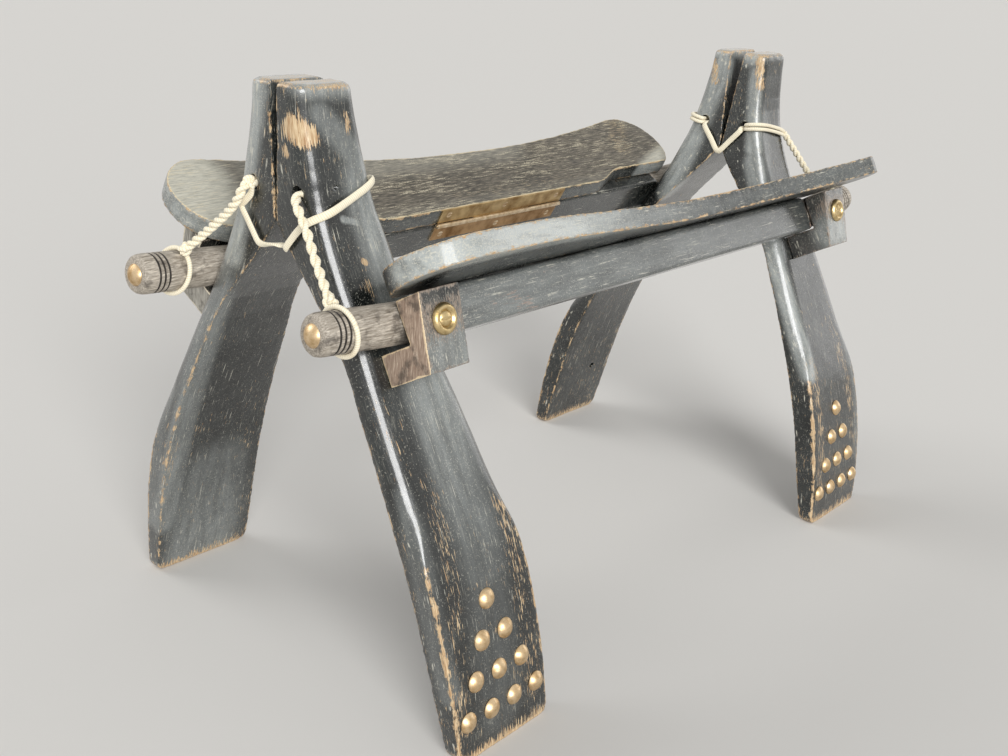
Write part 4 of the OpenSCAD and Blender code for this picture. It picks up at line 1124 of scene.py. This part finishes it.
class StoolBlocks(bpy.types.Operator):
    """Four clamp blocks that hook over the pegs"""

    bl_idname = "stool.blocks"
    bl_label = "Clamp Blocks"

    def execute(self, context):
        sizes, colours = context.scene.stool_sizes, context.scene.stool_colours
        paint = black_paint("Chipped paint on the blocks", colours, dust=0.6, streaks=0.9,
                            film="#4b4a47", under="#6d5f52", wood_colour=linear("#a6998b"),
                            arris_wear=2.0)
        raw = handled_wood("Stained wood of the blocks' sawn faces", "#86705f",
                           linear("#b8a391"), "#dccab4", along=(1, 1, 0.1), edge="#e6cfaa")
        grey = handled_wood("Greyed wood of the blocks' sawn faces", "#77736b",
                            linear("#b3afa5"), "#d2cdbf", along=(1, 1, 0.1), edge="#e0d6bf")
        for side, s in SIDES:
            for end_name, e in ENDS:
                node_name = f"{side}_{end_name}_block"
                block = worn_copy(node_name, f"{node_name}_worn", sizes.block_skin,
                                  grain_of_block, sizes.hand_wave * 0.5, sizes.nick * 0.6,
                                  soften=2)
                mark(block, mirrored(BLOCK_WEAR, s, e), mirrored(BLOCK_CHALK_AND_LIGHT[end_name], s, e))
                dress(block, paint, f"{side}_side")
                block.data.materials.append(raw if s > 0 else grey)
                for face in block.data.polygons:
                    sawn = end_name == "front" and abs(face.normal.y) > 0.8
                    face.material_index = 1 if sawn else 0
        return {"FINISHED"}


class StoolBoards(bpy.types.Operator):
    """Two waisted boards, hinged to the rails"""

    bl_idname = "stool.boards"
    bl_label = "Boards"

    def execute(self, context):
        sizes, colours = context.scene.stool_sizes, context.scene.stool_colours
        edge = black_paint("Rubbed paint on the board edges", colours, dust=0.6, streaks=0.8,
                           arris_wear=2.0, film="#272c2c", coat=0.3)
        top = weathered_top("Weathered tops of the boards", colours)
        for side, s in SIDES:
            board = worn_copy(f"{side}_board", f"{side}_board_worn", sizes.board_skin,
                              grain_of_rail, sizes.hand_wave * 0.8, sizes.nick)
            shape_board(board, s)
            mark(board, BOARD_WEAR[side], BOARD_CHALK_AND_SHEEN[side])
            dress(board, edge, f"{side}_board")
            board.data.materials.append(top)
            up = on_side(RAIL_U, s)
            for face in board.data.polygons:
                face.material_index = 1 if face.normal.dot(up) > 0.75 else 0
        return {"FINISHED"}


KNUCKLE_IN = -0.00175   # a leaf's faces that lie further in than this, from RAIL_AT, are knuckles


class StoolHinges(bpy.types.Operator):
    """Two brass strip hinges with their pins and screws"""

    bl_idname = "stool.hinges"
    bl_label = "Hinges"

    def execute(self, context):
        leaf = old_brass("Tarnished brass of the hinge leaves", linear("#cbb183"),
                         linear("#94774e"), 0.42, 0.62, patches=55.0)
        lower = old_brass("Browned brass of the rail leaves", linear("#bf9c72"),
                          linear("#86653f"), 0.45, 0.65, patches=55.0)
        pin = old_brass("Rubbed brass of the knuckles", linear("#ecdabd"), linear("#c4a983"),
                        0.40, 0.55)
        for side, s in SIDES:
            for part, body, material in (
                    ("board_leaf", f"{side}_board", leaf), ("rail_leaf", f"{side}_side", lower),
                    ("hinge_pin", f"{side}_side", pin), ("board_screws", f"{side}_board", pin),
                    ("rail_screws", f"{side}_side", pin)):
                node_name = f"{side}_{part}"
                piece = crisp_copy(node_name, f"{node_name}_brass", bevel=0.00025)
                dress(piece, material, body)
                if part.endswith("leaf"):
                    piece.data.materials.append(pin)
                    for face in piece.data.polygons:
                        n = (on_side(face.center, s) - RAIL_AT).dot(RAIL_N)
                        face.material_index = 1 if n < KNUCKLE_IN else 0
        return {"FINISHED"}


class StoolClampScrews(bpy.types.Operator):
    """Four large screws in cup washers"""

    bl_idname = "stool.clamp_screws"
    bl_label = "Cups and Clamp Screws"

    def execute(self, context):
        colours = context.scene.stool_colours
        cup = old_brass("Rubbed brass of the cups", colours.brass, linear("#a88f60"), 0.28, 0.45)
        for side, _ in SIDES:
            for part in ("cup_washers", "clamp_screws"):
                node_name = f"{side}_{part}"
                piece = crisp_copy(node_name, f"{node_name}_brass", bevel=0.0003, degrees=28)
                dress(piece, cup, f"{side}_side")
        return {"FINISHED"}


class StoolDomedNails(bpy.types.Operator):
    """Forty domed nails on the feet and one in the tip of each peg"""

    bl_idname = "stool.domed_nails"
    bl_label = "Domed Nails"

    def execute(self, context):
        brass = old_brass("Worn brass of the domed nails", linear("#e6cca6"), linear("#b7986c"),
                          0.36, 0.52)
        for side, _ in SIDES:
            for group in ("front_foot_nails", "rear_foot_nails", "peg_nails"):
                node_name = f"{side}_{group}"
                piece = crisp_copy(node_name, f"{node_name}_brass", bevel=0.0003, degrees=50)
                apply_modifier(piece, "DISPLACE", texture=cloud("hammered", 0.006),
                               strength=0.0005, mid_level=0.6, texture_coords="LOCAL")
                dress(piece, brass, f"{side}_side")
        return {"FINISHED"}


class StoolLashings(bpy.types.Operator):
    """Cords that hang the two halves together at the pommels"""

    bl_idname = "stool.lashings"
    bl_label = "Lashings"

    def execute(self, context):
        cotton = cotton_cord("Cotton lashing cord", context.scene.stool_colours, furrow=0.00004)
        trees = leg_trees()
        rear = (metres(REAR_LASHING_HALF, -1) + metres([REAR_LASHING_MIDDLE])
                + metres(REAR_LASHING_HALF)[::-1])
        for end_name, route in (("front", metres(FRONT_LASHING)), ("rear", rear)):
            path = smooth_path(route)
            cord = cord_piece(f"{end_name}_lashing_cord",
                              [tube(path, *LASHING[end_name], facing(path, trees))])
            dress(cord, cotton, None)
            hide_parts(f"{end_name}_lashing")
            start, stop = CROSSING[end_name]
            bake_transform(cord)
            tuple(start)
            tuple(stop)
        return {"FINISHED"}


class StoolStays(bpy.types.Operator):
    """Twisted cords from the pommels down to a loop round each peg"""

    bl_idname = "stool.stays"
    bl_label = "Stays"

    def execute(self, context):
        sizes, colours = context.scene.stool_sizes, context.scene.stool_colours
        cotton = cotton_cord("Cotton stay cord", colours)
        strand, pitch = sizes.strand, sizes.twist
        trees = leg_trees()
        for side, s in SIDES:
            # At the front, the right stay is laid more loosely and the left has a second knot
            path = smooth_path(metres(FRONT_STAYS[side], s))
            tubes = twisted(path, strand, 1.35 * pitch if side == "right" else pitch)
            tubes.append(peg_loop(f"{side}_front", s, -1, sizes.peg_radius, strand))
            tubes.append(knot(path[-4], path[-1] - path[-6], strand, 0.4))
            if side == "left":
                tubes.append(knot(path[18], path[22] - path[16], strand, 1.1))
            front = cord_piece(f"{side}_front_stay_cord", tubes)
            # At the rear, two single strands run round the pommel to the stay
            path = smooth_path(rear_stay(side, s))
            tubes = twisted(path, strand, pitch)
            for route in (UPPER_STRAND, LOWER_STRAND):
                line = smooth_path(metres(route, s))
                tubes.append(tube(line, *SINGLE_STRAND, facing(line, trees)))
            tubes.append(peg_loop(f"{side}_rear", s, 1, sizes.peg_radius, strand))
            tubes.append(knot(path[-4], path[-1] - path[-6], strand, 0.9))
            rear = cord_piece(f"{side}_rear_stay_cord", tubes)
            for end_name, stay in (("front", front), ("rear", rear)):
                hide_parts(f"{side}_{end_name}_stay")
                dress(stay, cotton, f"{side}_side")
        return {"FINISHED"}


# Large soft lamps, far away so that the floor is lit evenly: the way to each, how strong it is
# and how many degrees it spans
LAMPS = (("key_light", (0.80, -0.49, 0.40), 2.6, 30),
         ("side_light", (-0.75, -0.35, 0.62), 0.85, 40),
         ("back_light", (0.24, 0.95, 0.18), 0.32, 36))
# The camera: its place, its turn to the left of +Y, its tilt down and its roll in degrees, and
# its lens and sensor in millimetres
CAMERA_AT = (0.7219, -0.9254, 0.6147)
CAMERA_TURN, CAMERA_TILT, CAMERA_ROLL = 40.20, 20.54, 3.52
CAMERA_LENS, CAMERA_SENSOR = 42.75, 36


class StoolStage(bpy.types.Operator):
    """Pale studio floor, soft light and the camera"""

    bl_idname = "stool.stage"
    bl_label = "Stage"

    def execute(self, context):
        colours = context.scene.stool_colours
        bpy.ops.object.select_all(action="DESELECT")
        bpy.ops.mesh.primitive_plane_add(size=60)
        floor = context.object
        floor.name = "studio_floor"
        # Seamless paper, matt and without a pattern
        paper, t = begin("Matt studio paper")
        shader = node(t, "BsdfPrincipled", {"Base Color": colours.floor, "Roughness": 0.9,
                                            "Specular IOR Level": 0.2})
        node(t, "OutputMaterial", {"Surface": shader})
        floor.data.materials.append(paper)

        world = bpy.data.worlds.new("Studio")
        context.scene.world = world
        world.use_nodes = True
        t = world.node_tree
        t.nodes.clear()
        # The camera and mirror-like surfaces see a pale studio, and the rest gets its light
        rays = node(t, "LightPath").node.outputs
        sharp = node(t, "Math", {0: rays["Is Glossy Ray"], 1: rays["Is Transmission Ray"]},
                     operation="MAXIMUM")
        shows = node(t, "Math", {0: rays["Is Camera Ray"], 1: sharp}, operation="MAXIMUM")
        light = node(t, "Background", {"Color": linear("#ffffff"), "Strength": 0.45})
        shown = node(t, "Background", {"Color": linear("#e3e2df"), "Strength": 1.0})
        node(t, "OutputWorld", {"Surface": node(t, "MixShader", {0: shows, 1: light, 2: shown})})

        for name, way, power, span in LAMPS:
            bpy.ops.object.light_add(type="SUN", location=way)
            lamp = context.object
            lamp.name = name
            lamp.data.energy = power
            lamp.data.angle = math.radians(span)
            lamp.rotation_euler = (-Vector(way)).to_track_quat("-Z", "Y").to_euler()

        turn, tilt, roll = (math.radians(a) for a in (CAMERA_TURN, CAMERA_TILT, CAMERA_ROLL))
        way = Vector((-math.sin(turn) * math.cos(tilt), math.cos(turn) * math.cos(tilt),
                      -math.sin(tilt)))
        level = way.cross(Vector((0, 0, 1))).normalized()
        up = level.cross(way)
        right = level * math.cos(roll) + up * math.sin(roll)
        top = -level * math.sin(roll) + up * math.cos(roll)
        place = Matrix((right, top, -way)).transposed().to_4x4()
        place.translation = CAMERA_AT
        bpy.ops.object.camera_add()
        camera = context.object
        camera.name = "camera"
        camera.matrix_world = place
        camera.data.sensor_width = CAMERA_SENSOR
        camera.data.lens = CAMERA_LENS
        camera.data.clip_end = 200
        context.scene.camera = camera
        context.scene.view_settings.view_transform = "Standard"
        return {"FINISHED"}


STEPS = (StoolLegs, StoolRails, StoolBlocks, StoolBoards, StoolHinges, StoolClampScrews,
         StoolDomedNails, StoolLashings, StoolStays, StoolStage)


class StoolPanel(bpy.types.Panel):
    """Lists the stool's settings and steps"""

    bl_idname = "VIEW3D_PT_stool"
    bl_label = "Camel Saddle Stool"
    bl_space_type = "VIEW_3D"
    bl_region_type = "UI"
    bl_category = "Stool"

    def draw(self, context):
        layout = self.layout
        for settings in (context.scene.stool_sizes, context.scene.stool_colours):
            for name in settings.bl_rna.properties.keys():
                if name not in ("rna_type", "name"):
                    layout.prop(settings, name)
        for step in STEPS:
            layout.operator(step.bl_idname)


CLASSES = (StoolSizes, StoolColours, *STEPS, StoolPanel)


def register():
    for cls in CLASSES:
        bpy.utils.register_class(cls)
    bpy.types.Scene.stool_sizes = bpy.props.PointerProperty(type=StoolSizes)
    bpy.types.Scene.stool_colours = bpy.props.PointerProperty(type=StoolColours)


def unregister():
    del bpy.types.Scene.stool_colours
    del bpy.types.Scene.stool_sizes
    for cls in reversed(CLASSES):
        bpy.utils.unregister_class(cls)


def main():
    """Makes the whole stool, one group of pieces after another."""
    register()
    bpy.ops.stool.legs()
    bpy.ops.stool.rails()
    bpy.ops.stool.blocks()
    bpy.ops.stool.boards()
    bpy.ops.stool.hinges()
    bpy.ops.stool.clamp_screws()
    bpy.ops.stool.domed_nails()
    bpy.ops.stool.lashings()
    bpy.ops.stool.stays()
    bpy.ops.stool.stage()


if __name__ == "__main__":
    main()
